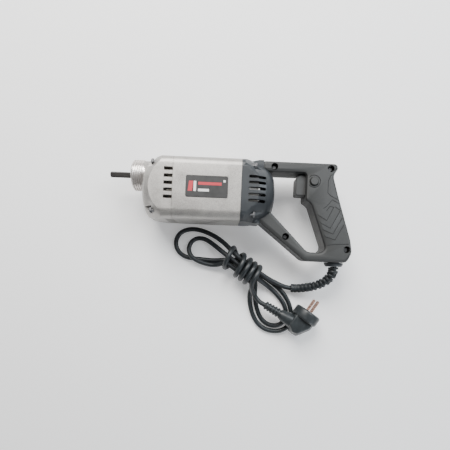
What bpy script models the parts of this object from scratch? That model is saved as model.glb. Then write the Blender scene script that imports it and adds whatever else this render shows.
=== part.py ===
"""Hand-held electric concrete vibrator drive unit, lying on its side with its mains lead.

Metres, +Z up. X runs along the motor towards the handle, Y towards the handle's top bar,
and Z = 0 is the flat side that the tool lies on. X = 0, Y = 0 is the middle of the motor.
"""

import math

import bmesh
import bpy
from mathutils import Matrix, Vector

# Driving dimensions
HOUSING_SIDE = 0.0810
HOUSING_CORNER = 0.0120
BORE_RADIUS = 0.0372
MOTOR_LENGTH = 0.0875
FRONT_LENGTH = 0.0407
REAR_LENGTH = 0.0460
FRONT_WALL = 0.0078
REAR_WALL = 0.0040
SHOULDER_END = 0.0300
SPIGOT_RADIUS = 0.0360
SPIGOT_WALL = 0.0028
SPIGOT_LENGTH = 0.0222
NOSE_RADIUS = 0.0210
NOSE_LENGTH = 0.0196
THREAD_PITCH = 0.0030
THREAD_DEPTH = 0.0013
THREAD_RIDGES = 5
SPINDLE_OFFSET = 0.0205
SHAFT_REACH = 0.0324
SHAFT_FLATS = 0.0072
JOURNAL_RADIUS = 0.0043
REAR_JOURNAL_RADIUS = 0.0035
BUSH_RADIUS = 0.0070
BEARING_RADIUS = 0.0110
BEARING_WIDTH = 0.0070
SEAL_WIDTH = 0.0035
PINION_TEETH = 12
GEAR_TEETH = 30
GEAR_WIDTH = 0.0080
STACK_LENGTH = 0.0460
STACK_RADIUS = 0.0200
AIR_GAP = 0.0008
COMMUTATOR_RADIUS = 0.0120
COMMUTATOR_LENGTH = 0.0160
FAN_RADIUS = 0.0320
FAN_WIDTH = 0.0100
SCREW_SPREAD = 0.0315
SCREW_RADIUS = 0.0021
SCREW_HEAD_RADIUS = 0.0040
SCREW_HEAD_HEIGHT = 0.0030
POCKET_WIDTH = 0.0115
LABEL_LENGTH = 0.0535
LABEL_HEIGHT = 0.0274
LABEL_THICKNESS = 0.0006
VENT_COUNT = 5
FRONT_VENT_PITCH = 0.0089
FRONT_VENT_HEIGHT = 0.0044
FRONT_VENT_LENGTH = 0.0113
REAR_VENT_PITCH = 0.0076
REAR_VENT_HEIGHT = 0.0038
REAR_VENT_LENGTH = 0.0226
HANDLE_THICKNESS = 0.0360
HANDLE_LENGTH = 0.1070
HANDLE_HEIGHT = 0.1325
HANDLE_WALL = 0.0030
HANDLE_EDGE = 0.0040
BAR_DEPTH = 0.0142
BASE_DEPTH = 0.0123
STRUT_SCREW_RADIUS = 0.0017
COUNTERBORE_RADIUS = 0.0046
COUNTERBORE_DEPTH = 0.0080
TONGUE_HALF = 0.0050
TRIGGER_HEIGHT = 0.0285
TRIGGER_THICKNESS = 0.0200
TRIGGER_PROUD = 0.0125
TRIGGER_TRAVEL = 0.0060
BUTTON_RADIUS = 0.0058
BUTTON_PROUD = 0.0028
BUTTON_TRAVEL = 0.0025
GLAND_RADIUS = 0.0130
GLAND_COLLAR = 0.0058
GLAND_NECK_RADIUS = 0.0080
PROTECTOR_ROOT_RADIUS = 0.00725
PROTECTOR_TIP_RADIUS = 0.0064
CORD_RADIUS = 0.0035
PIN_RADIUS = 0.0024
PIN_LENGTH = 0.0190
PIN_SPREAD = 0.0190
PLUG_RADIUS = 0.0190
PLUG_DEPTH = 0.0415
PLUG_DISC = 0.0150
PLUG_BACK = 0.0165
PLUG_ARM = 0.0570

# Clearances
GAP = 0.0003          # between pieces that touch
RUNNING = 0.0006      # around turning pieces
SLIDING = 0.0004      # around sliding pieces
TOOTH_PLAY = 0.00012  # taken off each flank of the gear teeth

# Places that follow from them
MID = HOUSING_SIDE / 2
FRONT_SEAM = -MOTOR_LENGTH / 2
REAR_SEAM = MOTOR_LENGTH / 2
FRONT_FACE = FRONT_SEAM - FRONT_LENGTH
NOSE_TIP = FRONT_FACE - NOSE_LENGTH
SHAFT_TIP = NOSE_TIP - SHAFT_REACH
REAR_END = REAR_SEAM + REAR_LENGTH
PLATE_REAR = FRONT_SEAM - 0.0125
PLATE_FRONT = PLATE_REAR - BEARING_WIDTH
PLATE_RADIUS = BORE_RADIUS - GAP
GEAR_MODULE = 2 * SPINDLE_OFFSET / (PINION_TEETH + GEAR_TEETH)
GEAR_REAR = PLATE_FRONT - 0.0025
GEAR_FRONT = GEAR_REAR - GEAR_WIDTH
FAN_FRONT = PLATE_REAR + 0.0022
STACK_FRONT = FAN_FRONT + FAN_WIDTH + 0.0230
STACK_REAR = STACK_FRONT + STACK_LENGTH
COIL_OVERHANG = 0.0065
COMMUTATOR_FRONT = STACK_REAR + COIL_OVERHANG + 0.0035
BRUSH_X = COMMUTATOR_FRONT + COMMUTATOR_LENGTH / 2
REAR_BEARING_FRONT = REAR_END - REAR_WALL - 0.0060 - BEARING_WIDTH
REAR_CREASE = REAR_END - 0.0232
HANDLE_BACK = REAR_END + HANDLE_LENGTH
BAR_TOP = MID + 0.0034
BAR_UNDER = BAR_TOP - BAR_DEPTH
BASE_Y = BAR_TOP - HANDLE_HEIGHT
TRIGGER_WALL = HANDLE_BACK - 0.0650
TRIGGER_TOP = BAR_UNDER - 2 * SLIDING
TRIGGER_MID_Y = TRIGGER_TOP - TRIGGER_HEIGHT / 2
BUTTON_X = TRIGGER_WALL + HANDLE_WALL + 0.0067
BUTTON_Y = BAR_UNDER - 0.0112
GLAND_X = HANDLE_BACK - 0.0190
HANDLE_SCREWS = (
    (REAR_END - 0.0017, BAR_TOP - 0.0077),
    (HANDLE_BACK - 0.0333, BAR_TOP - 0.0074),
    (REAR_END + 0.0168, -MID - 0.0162),
    (HANDLE_BACK - 0.0078, BASE_Y + 0.0178),
)

# Routes of the bend protector and of the free cord, chosen by hand
PROTECTOR_ROUTE = (
    (GLAND_X, -0.0950, 0.0405), (GLAND_X, -0.1002, 0.0404), (0.1760, -0.1066, 0.0380),
    (0.1706, -0.1151, 0.0325),
    (0.1588, -0.1230, 0.0240), (0.1440, -0.1275, 0.0145), (0.1350, -0.1289, 0.0101),
    (0.1268, -0.1291, 0.0090),
)
LEAD_ROUTE = (
    (0.1257, -0.1291, 0.0090), (0.1205, -0.1288, 0.0093), (0.1130, -0.1262, 0.0112),
    (0.1050, -0.1228, 0.0122), (0.0985, -0.1197, 0.0132), (0.0920, -0.1166, 0.0146),
    (0.0861, -0.1134, 0.0165),
)
TAIL_ROUTE = (
    (0.0860, -0.1531, 0.0217), (0.0836, -0.1516, 0.0208), (0.0820, -0.1488, 0.0170),
    (0.0814, -0.1440, 0.0126), (0.0810, -0.1380, 0.0111), (0.0796, -0.1320, 0.0120),
    (0.0776, -0.1284, 0.0145),
)
WINDING_START = (0.0265, -0.0829, 0.0204)
WINDING_END = (0.0800, -0.1196, 0.0204)
WINDING_RADIUS = 0.0202
LEFT_LOOPS = (
    (0.0365, -0.0667, 0.003), (-0.0080, -0.0440, 0.024), (-0.0440, -0.0425, 0.026),
    (-0.0560, -0.0720, 0.022), (-0.0460, -0.0975, 0.018), (0.0030, -0.1050, 0.030),
    (0.0150, -0.0984, 0.003),
)
RIGHT_LOOPS = (
    (0.0884, -0.1083, 0.003), (0.1180, -0.1320, 0.014), (0.1305, -0.1560, 0.015),
    (0.1290, -0.1680, 0.020), (0.1350, -0.1990, 0.020), (0.0930, -0.2070, 0.022),
    (0.0650, -0.1830, 0.026), (0.0610, -0.1420, 0.004), (0.0694, -0.1364, 0.002),
    (0.0740, -0.1300, 0.002), (0.0870, -0.1720, 0.012), (0.1080, -0.1810, 0.012),
    (0.1135, -0.1500, 0.012), (0.0799, -0.1212, 0.003),
)
LOOPS_HEIGHT = 0.0072
PLUG_FACE = Vector((0.1520, -0.1605, 0.0218))
PLUG_TURN = math.radians(57)
ARM_TURN = math.radians(151.5)


# Materials
def finish(name, colour, roughness, metallic=0.0):
    material = bpy.data.materials.new(name)
    material.use_nodes = True
    shader = material.node_tree.nodes["Principled BSDF"]
    shader.inputs["Base Color"].default_value = (*colour, 1)
    shader.inputs["Roughness"].default_value = roughness
    shader.inputs["Metallic"].default_value = metallic
    return material


def new_collection(name):
    collection = bpy.data.collections.new(name)
    bpy.context.scene.collection.children.link(collection)
    return collection


for leftover in list(bpy.data.objects):
    bpy.data.objects.remove(leftover)

PARTS = new_collection("concrete_vibrator")
CUTTERS = new_collection("cutters")

CAST = finish("cast_silver", (0.56, 0.54, 0.51), 0.42, 0.8)
STEEL = finish("steel", (0.55, 0.55, 0.56), 0.3, 1.0)
SCREW_STEEL = finish("screw_steel", (0.30, 0.30, 0.31), 0.4, 1.0)
BLACKENED = finish("blackened_steel", (0.03, 0.028, 0.026), 0.35, 0.9)
HANDLE_PLASTIC = finish("handle_plastic", (0.07, 0.07, 0.069), 0.55)
REAR_PLASTIC = finish("rear_plastic", (0.045, 0.05, 0.055), 0.5)
LABEL = finish("label_film", (0.07, 0.07, 0.07), 0.4)
RUBBER = finish("cord_rubber", (0.035, 0.04, 0.044), 0.5)
COPPER = finish("winding_copper", (0.45, 0.19, 0.08), 0.4, 0.9)
LAMINATION = finish("lamination_steel", (0.25, 0.25, 0.26), 0.5, 0.9)
BRASS = finish("brass", (0.65, 0.48, 0.20), 0.3, 1.0)
CARBON = finish("carbon", (0.02, 0.02, 0.02), 0.7)
NYLON = finish("fan_nylon", (0.62, 0.60, 0.55), 0.5)
PIN_METAL = finish("plug_pin_metal", (0.72, 0.48, 0.36), 0.25, 1.0)


# Making solids
def placed(name, mesh, material, part=True):
    """An object in the parts collection, or a hidden wire one among the cutters."""
    thing = bpy.data.objects.new(name, mesh)
    (PARTS if part else CUTTERS).objects.link(thing)
    if material:
        mesh.materials.clear()
        mesh.materials.append(material)
    if not part:
        thing.hide_render = True
        thing.display_type = "WIRE"
    return thing


def from_bmesh(name, shape, material, part=True):
    bmesh.ops.recalc_face_normals(shape, faces=shape.faces)
    mesh = bpy.data.meshes.new(name)
    shape.to_mesh(mesh)
    shape.free()
    if part:
        mesh.shade_smooth()
        mesh.set_sharp_from_angle(angle=math.radians(35))
    return placed(name, mesh, material, part)


def block(name, low, high, material=None, part=True, edge=0.0, along=None, segments=3):
    """A box between two corners; its edges, or only those along one axis, can be rounded."""
    low, high = Vector(low), Vector(high)
    shape = bmesh.new()
    bmesh.ops.create_cube(shape, size=1)
    bmesh.ops.scale(shape, vec=high - low, verts=shape.verts)
    bmesh.ops.translate(shape, vec=(low + high) / 2, verts=shape.verts)
    if edge:
        chosen = [
            e for e in shape.edges
            if along is None or abs((e.verts[0].co - e.verts[1].co).normalized()[along]) > 0.9
        ]
        bmesh.ops.bevel(shape, geom=chosen, offset=edge, segments=segments, profile=0.5, affect="EDGES")
    return from_bmesh(name, shape, material, part)


def cylinder(name, start, end, radius, material=None, part=True, sides=32, end_radius=None):
    """A round bar or cone frustum between two points."""
    start, end = Vector(start), Vector(end)
    shape = bmesh.new()
    bmesh.ops.create_cone(
        shape, cap_ends=True, segments=sides, radius1=radius,
        radius2=radius if end_radius is None else end_radius, depth=(end - start).length,
    )
    turn = (end - start).to_track_quat("Z", "Y").to_matrix().to_4x4()
    bmesh.ops.transform(shape, matrix=Matrix.Translation((start + end) / 2) @ turn, verts=shape.verts)
    return from_bmesh(name, shape, material, part)


def turned(name, profile, centre, material=None, part=True, steps=40, closed=False, axis=(1, 0, 0)):
    """A profile of (along, radius) pairs spun about an axis through centre with a Screw modifier."""
    mesh = bpy.data.meshes.new(name + "_profile")
    edges = [(i, i + 1) for i in range(len(profile) - 1)]
    if closed:
        edges.append((len(profile) - 1, 0))
    mesh.from_pydata([(radius, 0, along) for along, radius in profile], edges, [])
    guide = placed(name + "_profile", mesh, None, part=False)
    spin = guide.modifiers.new("Turn", "SCREW")
    spin.axis = "Z"
    spin.steps = spin.render_steps = steps
    spin.use_merge_vertices = True
    spin.merge_threshold = 0.00001
    thing = made_mesh(name, guide, material, part)
    turn = Vector(axis).to_track_quat("Z", "Y").to_matrix().to_4x4()
    thing.data.transform(Matrix.Translation(centre) @ turn)
    return thing


def made_mesh(name, source, material, part):
    """The evaluated shape of a curve or modified object as a welded mesh; the source is removed."""
    depsgraph = bpy.context.evaluated_depsgraph_get()
    mesh = bpy.data.meshes.new_from_object(source.evaluated_get(depsgraph))
    mesh.transform(source.matrix_world)
    shape = bmesh.new()
    shape.from_mesh(mesh)
    bmesh.ops.remove_doubles(shape, verts=shape.verts, dist=0.000002)
    bmesh.ops.dissolve_degenerate(shape, edges=shape.edges, dist=0.000001)
    bpy.data.objects.remove(source)
    return from_bmesh(name, shape, material, part)


def flat_solid(name, loops, thickness, place, material=None, part=True, edge=0.0):
    """Closed loops of (u, v) points filled and extruded; loops inside the first are holes."""
    curve = bpy.data.curves.new(name + "_outline", "CURVE")
    curve.dimensions = "2D"
    curve.fill_mode = "BOTH"
    curve.extrude = thickness / 2 - edge
    curve.bevel_depth = edge
    curve.bevel_resolution = 1
    for loop in loops:
        spline = curve.splines.new("POLY")
        spline.points.add(len(loop) - 1)
        for point, (u, v) in zip(spline.points, loop):
            point.co = (u, v, 0, 1)
        spline.use_cyclic_u = True
    guide = placed(name + "_outline", curve, None, part=False)
    guide.matrix_world = place
    bpy.context.view_layer.update()
    return made_mesh(name, guide, material, part)


def tube(name, points, radii, material, sides_level=2):
    """A round tube along a smooth curve through the points, as an open curve with filled caps."""
    curve = bpy.data.curves.new(name, "CURVE")
    curve.dimensions = "3D"
    curve.bevel_depth = 1.0
    curve.bevel_resolution = sides_level
    curve.use_fill_caps = True
    spline = curve.splines.new("POLY")
    spline.points.add(len(points) - 1)
    for point, co, radius in zip(spline.points, points, radii):
        point.co = (*co, 1)
        point.radius = radius
    guide = placed(name + "_curve", curve, None, part=False)
    bpy.context.view_layer.update()
    return made_mesh(name, guide, material, True)


def with_boolean(thing, other, operation):
    step = thing.modifiers.new(other.name, "BOOLEAN")
    step.operation = operation
    step.solver = "EXACT"
    step.object = other


def cut(thing, *others):
    for other in others:
        with_boolean(thing, other, "DIFFERENCE")


def join(thing, *others):
    for other in others:
        with_boolean(thing, other, "UNION")


def keep_inside(thing, other):
    with_boolean(thing, other, "INTERSECT")


def copied(thing, name, material=None, part=False):
    """A separate object of the same evaluated shape."""
    depsgraph = bpy.context.evaluated_depsgraph_get()
    mesh = bpy.data.meshes.new_from_object(thing.evaluated_get(depsgraph))
    return placed(name, mesh, material, part)


# Points
def circle(centre, radius, count):
    return [
        (centre[0] + radius * math.cos(math.tau * i / count), centre[1] + radius * math.sin(math.tau * i / count))
        for i in range(count)
    ]


def rounded(corners, step=math.radians(30)):
    """A closed outline whose corners (x, y, radius) are turned into arcs."""
    outline = []
    for i, (x, y, radius) in enumerate(corners):
        here = Vector((x, y))
        before = (Vector(corners[i - 1][:2]) - here)
        after = (Vector(corners[(i + 1) % len(corners)][:2]) - here)
        a, b = before.normalized(), after.normalized()
        opening = a.angle(b)
        reach = min(radius / math.tan(opening / 2), 0.48 * before.length, 0.48 * after.length)
        radius = reach * math.tan(opening / 2)
        if radius < 0.0002:
            outline.append((x, y))
            continue
        centre = here + (a + b).normalized() * (radius / math.sin(opening / 2))
        first, last = here + a * reach - centre, here + b * reach - centre
        sweep = math.pi - opening
        side = 1 if first.x * last.y - first.y * last.x > 0 else -1
        count = max(2, round(sweep / step) + 1)
        for k in range(count):
            turn = side * sweep * k / (count - 1)
            outline.append((
                centre.x + first.x * math.cos(turn) - first.y * math.sin(turn),
                centre.y + first.x * math.sin(turn) + first.y * math.cos(turn),
            ))
    return outline


def inset(corners, wall):
    """The corners moved inwards by the wall, for corners listed clockwise."""
    moved = []
    for i, (x, y, radius) in enumerate(corners):
        here = Vector((x, y))
        inward = (here - Vector(corners[i - 1][:2])).normalized()
        onward = (Vector(corners[(i + 1) % len(corners)][:2]) - here).normalized()
        turn = inward.x * onward.y - inward.y * onward.x
        side_in, side_on = Vector((inward.y, -inward.x)), Vector((onward.y, -onward.x))
        shift = (side_in + side_on) / (1 + side_in.dot(side_on)) * wall
        moved.append((x + shift.x, y + shift.y, max(0.001, radius + (wall if turn > 0 else -wall))))
    return moved


def smooth_route(points, count):
    """Points read evenly from a smooth curve through the route's points."""
    route = [Vector(p) for p in points]
    fine = []
    for i in range(len(route) - 1):
        before = route[i - 1] if i else route[0] * 2 - route[1]
        after = route[i + 2] if i + 2 < len(route) else route[-1] * 2 - route[-2]
        for k in range(12):
            t = k / 12
            fine.append(0.5 * (
                2 * route[i] + (route[i + 1] - before) * t
                + (2 * before - 5 * route[i] + 4 * route[i + 1] - after) * t * t
                + (3 * route[i] - before - 3 * route[i + 1] + after) * t ** 3
            ))
    fine.append(route[-1])
    lengths = [0.0]
    for a, b in zip(fine, fine[1:]):
        lengths.append(lengths[-1] + (b - a).length)
    even, k = [], 0
    for i in range(count):
        wanted = lengths[-1] * i / (count - 1)
        while k < len(lengths) - 2 and lengths[k + 1] < wanted:
            k += 1
        share = (wanted - lengths[k]) / (lengths[k + 1] - lengths[k])
        even.append(fine[k].lerp(fine[k + 1], share))
    return even


def across(x, y=0.0):
    """Places a flat shape in the YZ plane at x, with u along -Z and v along Y."""
    return Matrix.Translation((x, y, MID)) @ Matrix.Rotation(math.pi / 2, 4, "Y")


def gear_outline(teeth, first_tooth, flank_points=3):
    """Involute teeth with a 20 degree pressure angle, thinned by the tooth play.

    The first tooth's middle is at the given angle.
    """
    pressure = math.radians(20)
    pitch_radius = GEAR_MODULE * teeth / 2
    base = pitch_radius * math.cos(pressure)
    tip = pitch_radius + GEAR_MODULE * 0.92
    root = pitch_radius - GEAR_MODULE * 1.25
    half_tooth = math.pi / (2 * teeth) - TOOTH_PLAY / pitch_radius
    rolled = math.tan(pressure) - pressure

    def half_angle(radius):
        if radius <= base:
            return half_tooth + rolled
        angle = math.acos(base / radius)
        return half_tooth + rolled - (math.tan(angle) - angle)

    start = max(base, root + 0.0001)
    flank = [start + (tip - start) * i / (flank_points - 1) for i in range(flank_points)]
    outline = []
    for tooth in range(teeth):
        middle = first_tooth + math.tau * tooth / teeth
        sides = [(root, -half_angle(start))] + [(r, -half_angle(r)) for r in flank]
        sides += [(r, half_angle(r)) for r in reversed(flank)] + [(root, half_angle(start))]
        outline += [(r * math.cos(middle + a), r * math.sin(middle + a)) for r, a in sides]
    return outline


# Casings
def housing_prism(name, start, end, grow=0.0, material=None, part=False):
    half = MID + grow
    return block(
        name, (start, -half, MID - half), (end, half, MID + half), material, part,
        edge=HOUSING_CORNER + grow, along=0, segments=4,
    )


DOME_STEPS = 32
FRONT_DOME = (
    (FRONT_LENGTH, 0.0), (FRONT_LENGTH, MID - 0.0105), (FRONT_LENGTH - 0.0018, MID - 0.0065),
    (FRONT_LENGTH - 0.0047, MID - 0.0028), (FRONT_LENGTH - 0.0098, MID),
    (FRONT_LENGTH - 0.0170, MID + 0.0060), (FRONT_LENGTH - 0.0260, MID + 0.0115),
    (-0.0100, MID + 0.0200), (-0.0100, 0.0),
)
REAR_DOME = (
    (REAR_LENGTH, 0.0), (REAR_LENGTH, MID - 0.0260), (REAR_LENGTH - 0.0018, MID - 0.0165),
    (REAR_LENGTH - 0.0070, MID - 0.0085), (REAR_LENGTH - 0.0140, MID - 0.0035),
    (REAR_CREASE - REAR_SEAM, MID), (0.0120, MID + 0.0070), (-0.0100, MID + 0.0200), (-0.0100, 0.0),
)


def dome(name, profile, seam, direction, grow=0.0):
    """The turned shape that rounds the end of a housing off.

    It is turned on by half a step, so that its edges miss the corners of the prism it trims.
    """
    grown = [(along + (grow if along > 0 else 0), radius + (grow if radius else 0)) for along, radius in profile]
    shape = turned(name, grown, (seam, 0, MID), part=False, steps=DOME_STEPS, axis=(direction, 0, 0))
    middle = Matrix.Translation((0, 0, MID))
    shape.data.transform(middle @ Matrix.Rotation(math.pi / DOME_STEPS, 4, "X") @ middle.inverted())
    return shape


def blocks(name, boxes):
    """Several separate boxes in one cutter."""
    shape = bmesh.new()
    for low, high in boxes:
        low, high = Vector(low), Vector(high)
        new = bmesh.ops.create_cube(shape, size=1)["verts"]
        bmesh.ops.scale(shape, vec=high - low, verts=new)
        bmesh.ops.translate(shape, vec=(low + high) / 2, verts=new)
    return from_bmesh(name, shape, None, False)


def corners():
    """The four corner screw places, as signs in Y and Z with a name."""
    return (
        ("upper_left", 1, 1), ("upper_right", 1, -1), ("lower_left", -1, 1), ("lower_right", -1, -1),
    )


def screw_holes(name, start, end):
    shape = bmesh.new()
    for _, side_y, side_z in corners():
        made = bmesh.ops.create_cone(
            shape, cap_ends=True, segments=16, depth=end - start,
            radius1=SCREW_RADIUS + GAP, radius2=SCREW_RADIUS + GAP,
        )["verts"]
        place = Matrix.Translation(((start + end) / 2, side_y * SCREW_SPREAD, MID + side_z * SCREW_SPREAD))
        bmesh.ops.transform(shape, matrix=place @ Matrix.Rotation(math.pi / 2, 4, "Y"), verts=made)
    return from_bmesh(name, shape, None, False)


FRONT_POCKET = FRONT_SEAM - 0.0265
REAR_POCKET = REAR_SEAM + 0.0165
NOTCH = SCREW_SPREAD - SCREW_HEAD_RADIUS - GAP


def front_housing():
    body = housing_prism("front_housing", FRONT_FACE - 0.001, FRONT_SEAM - GAP / 2, material=CAST, part=True)
    keep_inside(body, dome("front_dome", FRONT_DOME, FRONT_SEAM, -1))
    nose = [(-0.004, 0.0), (-0.004, NOSE_RADIUS - THREAD_DEPTH), (0.0010, NOSE_RADIUS - THREAD_DEPTH)]
    first = NOSE_LENGTH - 0.0012 - THREAD_RIDGES * THREAD_PITCH
    for ridge in range(THREAD_RIDGES):
        start = first + ridge * THREAD_PITCH
        nose += [(start, NOSE_RADIUS - THREAD_DEPTH), (start + THREAD_PITCH * 0.5, NOSE_RADIUS)]
    nose += [(NOSE_LENGTH - 0.0012, NOSE_RADIUS - 0.0009), (NOSE_LENGTH, NOSE_RADIUS - 0.0028), (NOSE_LENGTH, 0.0)]
    join(body, turned(
        "nose_thread", nose, (FRONT_FACE, SPINDLE_OFFSET, MID), part=False, steps=28, axis=(-1, 0, 0),
    ))
    depth = FRONT_LENGTH - FRONT_WALL
    cavity = ((-0.001, 0.0), (-0.001, BORE_RADIUS), (depth - 0.0026, BORE_RADIUS), (depth, BORE_RADIUS - 0.0037),
              (depth, 0.0))
    seat_end = NOSE_TIP + SEAL_WIDTH + BEARING_WIDTH + 0.0015
    lug = NOSE_TIP - 0.001
    spindle_y = SPINDLE_OFFSET
    cut(
        body,
        turned("front_cavity", cavity, (FRONT_SEAM, 0, MID), part=False, steps=32, axis=(-1, 0, 0)),
        cylinder("bearing_bore", (lug, spindle_y, MID), (seat_end, spindle_y, MID),
                 BEARING_RADIUS + GAP, part=False, sides=40),
        cylinder("spindle_bore", (seat_end - 0.001, spindle_y, MID), (FRONT_FACE + 0.012, spindle_y, MID),
                 JOURNAL_RADIUS + 0.0030, part=False, sides=32),
    )
    pockets = []
    for _, side_y, side_z in corners():
        y, z = side_y * SCREW_SPREAD, SCREW_SPREAD - POCKET_WIDTH / 2
        near, far = sorted((MID + side_z * z, MID + side_z * (MID + 0.01)))
        pockets.append(((FRONT_FACE - 0.002, y - POCKET_WIDTH / 2, near), (FRONT_POCKET, y + POCKET_WIDTH / 2, far)))
    cut(body, blocks("front_pockets", pockets), screw_holes("front_holes", FRONT_POCKET - 0.001, FRONT_SEAM + 0.001))
    vents = []
    for i in range(VENT_COUNT):
        at = (i - (VENT_COUNT - 1) / 2) * FRONT_VENT_PITCH
        for side in (1, -1):
            low, high = sorted((side * (MID - 0.020), side * (MID + 0.005)))
            span = (FRONT_SEAM - FRONT_VENT_LENGTH, FRONT_SEAM + 0.001)
            shifted = at + 0.0035
            vents.append(((span[0], shifted - FRONT_VENT_HEIGHT / 2, MID + low),
                          (span[1], shifted + FRONT_VENT_HEIGHT / 2, MID + high)))
            vents.append(((span[0], low, MID + at - FRONT_VENT_HEIGHT / 2),
                          (span[1], high, MID + at + FRONT_VENT_HEIGHT / 2)))
    cut(body, blocks("front_vents", vents))


def motor_housing():
    body = housing_prism("motor_housing", FRONT_SEAM + GAP / 2, REAR_SEAM - GAP / 2, material=CAST, part=True)
    spigot_end = REAR_SEAM + SPIGOT_LENGTH
    shoulder = REAR_SEAM - 0.0060
    join(body, cylinder("spigot", (shoulder + 0.002, 0, MID), (spigot_end, 0, MID), SPIGOT_RADIUS, part=False, sides=40))
    recess = LABEL_THICKNESS * 0.75
    cut(
        body,
        cylinder("stator_bore", (FRONT_SEAM - 0.001, 0, MID), (shoulder, 0, MID), BORE_RADIUS, part=False, sides=40),
        cylinder("spigot_bore", (shoulder - 0.001, 0, MID), (spigot_end + 0.001, 0, MID),
                 SPIGOT_RADIUS - SPIGOT_WALL, part=False, sides=40),
        screw_holes("motor_front_holes", FRONT_SEAM - 0.001, FRONT_SEAM + 0.0140),
        screw_holes("motor_rear_holes", REAR_SEAM - 0.0140, REAR_SEAM + 0.001),
        block("label_recess", (-LABEL_LENGTH / 2 - GAP, -LABEL_HEIGHT / 2 - GAP, HOUSING_SIDE - recess),
              (LABEL_LENGTH / 2 + GAP, LABEL_HEIGHT / 2 + GAP, HOUSING_SIDE + 0.001), part=False,
              edge=0.0022, along=2),
    )
    block("label_plate", (-LABEL_LENGTH / 2, -LABEL_HEIGHT / 2, HOUSING_SIDE - recess + GAP / 2),
          (LABEL_LENGTH / 2, LABEL_HEIGHT / 2, HOUSING_SIDE + LABEL_THICKNESS / 2), LABEL, edge=0.0020, along=2)


def strut_tongue(name, grow=0.0, part=False):
    """The lug that runs down inside the strut, as a slanting bar."""
    start = Vector((REAR_END - 0.0110, -MID + 0.0100))
    screw = Vector(HANDLE_SCREWS[2])
    along = (screw - start).normalized()
    side = Vector((-along.y, along.x)) * (0.0040 + grow)
    end = screw + along * (0.0060 + grow)
    loop = [tuple(p) for p in (start + side, end + side, end - side, start - side)]
    return flat_solid(name, [loop], 2 * (TONGUE_HALF + grow), Matrix.Translation((0, 0, MID)), part=part)


def bar_tongue(name, grow=0.0):
    x, y = HANDLE_SCREWS[0]
    return block(name, (x - 0.0120, y - 0.0030 - grow, MID - TONGUE_HALF - grow),
                 (x + 0.0075 + grow, y + 0.0027 + grow, MID + TONGUE_HALF + grow), part=False)


def shoulders(name, grow=0.0):
    """The two flat shoulders that run on into the handle's top bar and strut, as one cutter."""
    end = REAR_SEAM + SHOULDER_END + grow
    upper = [(REAR_SEAM + 0.0060, MID - 0.0140), (end, MID - 0.0140 - grow), (end, BAR_TOP),
             (REAR_CREASE + 0.0010, BAR_TOP), (REAR_SEAM + 0.0060, MID - 0.0010)]
    low_end = REAR_SEAM + SHOULDER_END - 0.0030 + grow
    lower = [(REAR_SEAM + 0.0060, -MID + 0.0010), (REAR_CREASE, -MID - 0.0004),
             (low_end, -MID - 0.0004), (low_end, -MID + 0.0140 + grow), (REAR_SEAM + 0.0060, -MID + 0.0140)]
    place = Matrix.Translation((0, 0, MID))
    both = flat_solid(name, [upper], HANDLE_THICKNESS + 2 * grow, place, part=False)
    join(both, flat_solid(name + "_lower", [lower], HANDLE_THICKNESS + 2 * grow, place, part=False))
    return both


def rear_shape(name, grow=0.0, material=None, part=False):
    body = housing_prism(name, REAR_SEAM + (GAP / 2 if part else 0), REAR_END + 0.002, grow, material, part)
    keep_inside(body, dome(name + "_dome", REAR_DOME, REAR_SEAM, 1, grow))
    join(body, shoulders(name + "_shoulders", grow))
    return body


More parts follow.
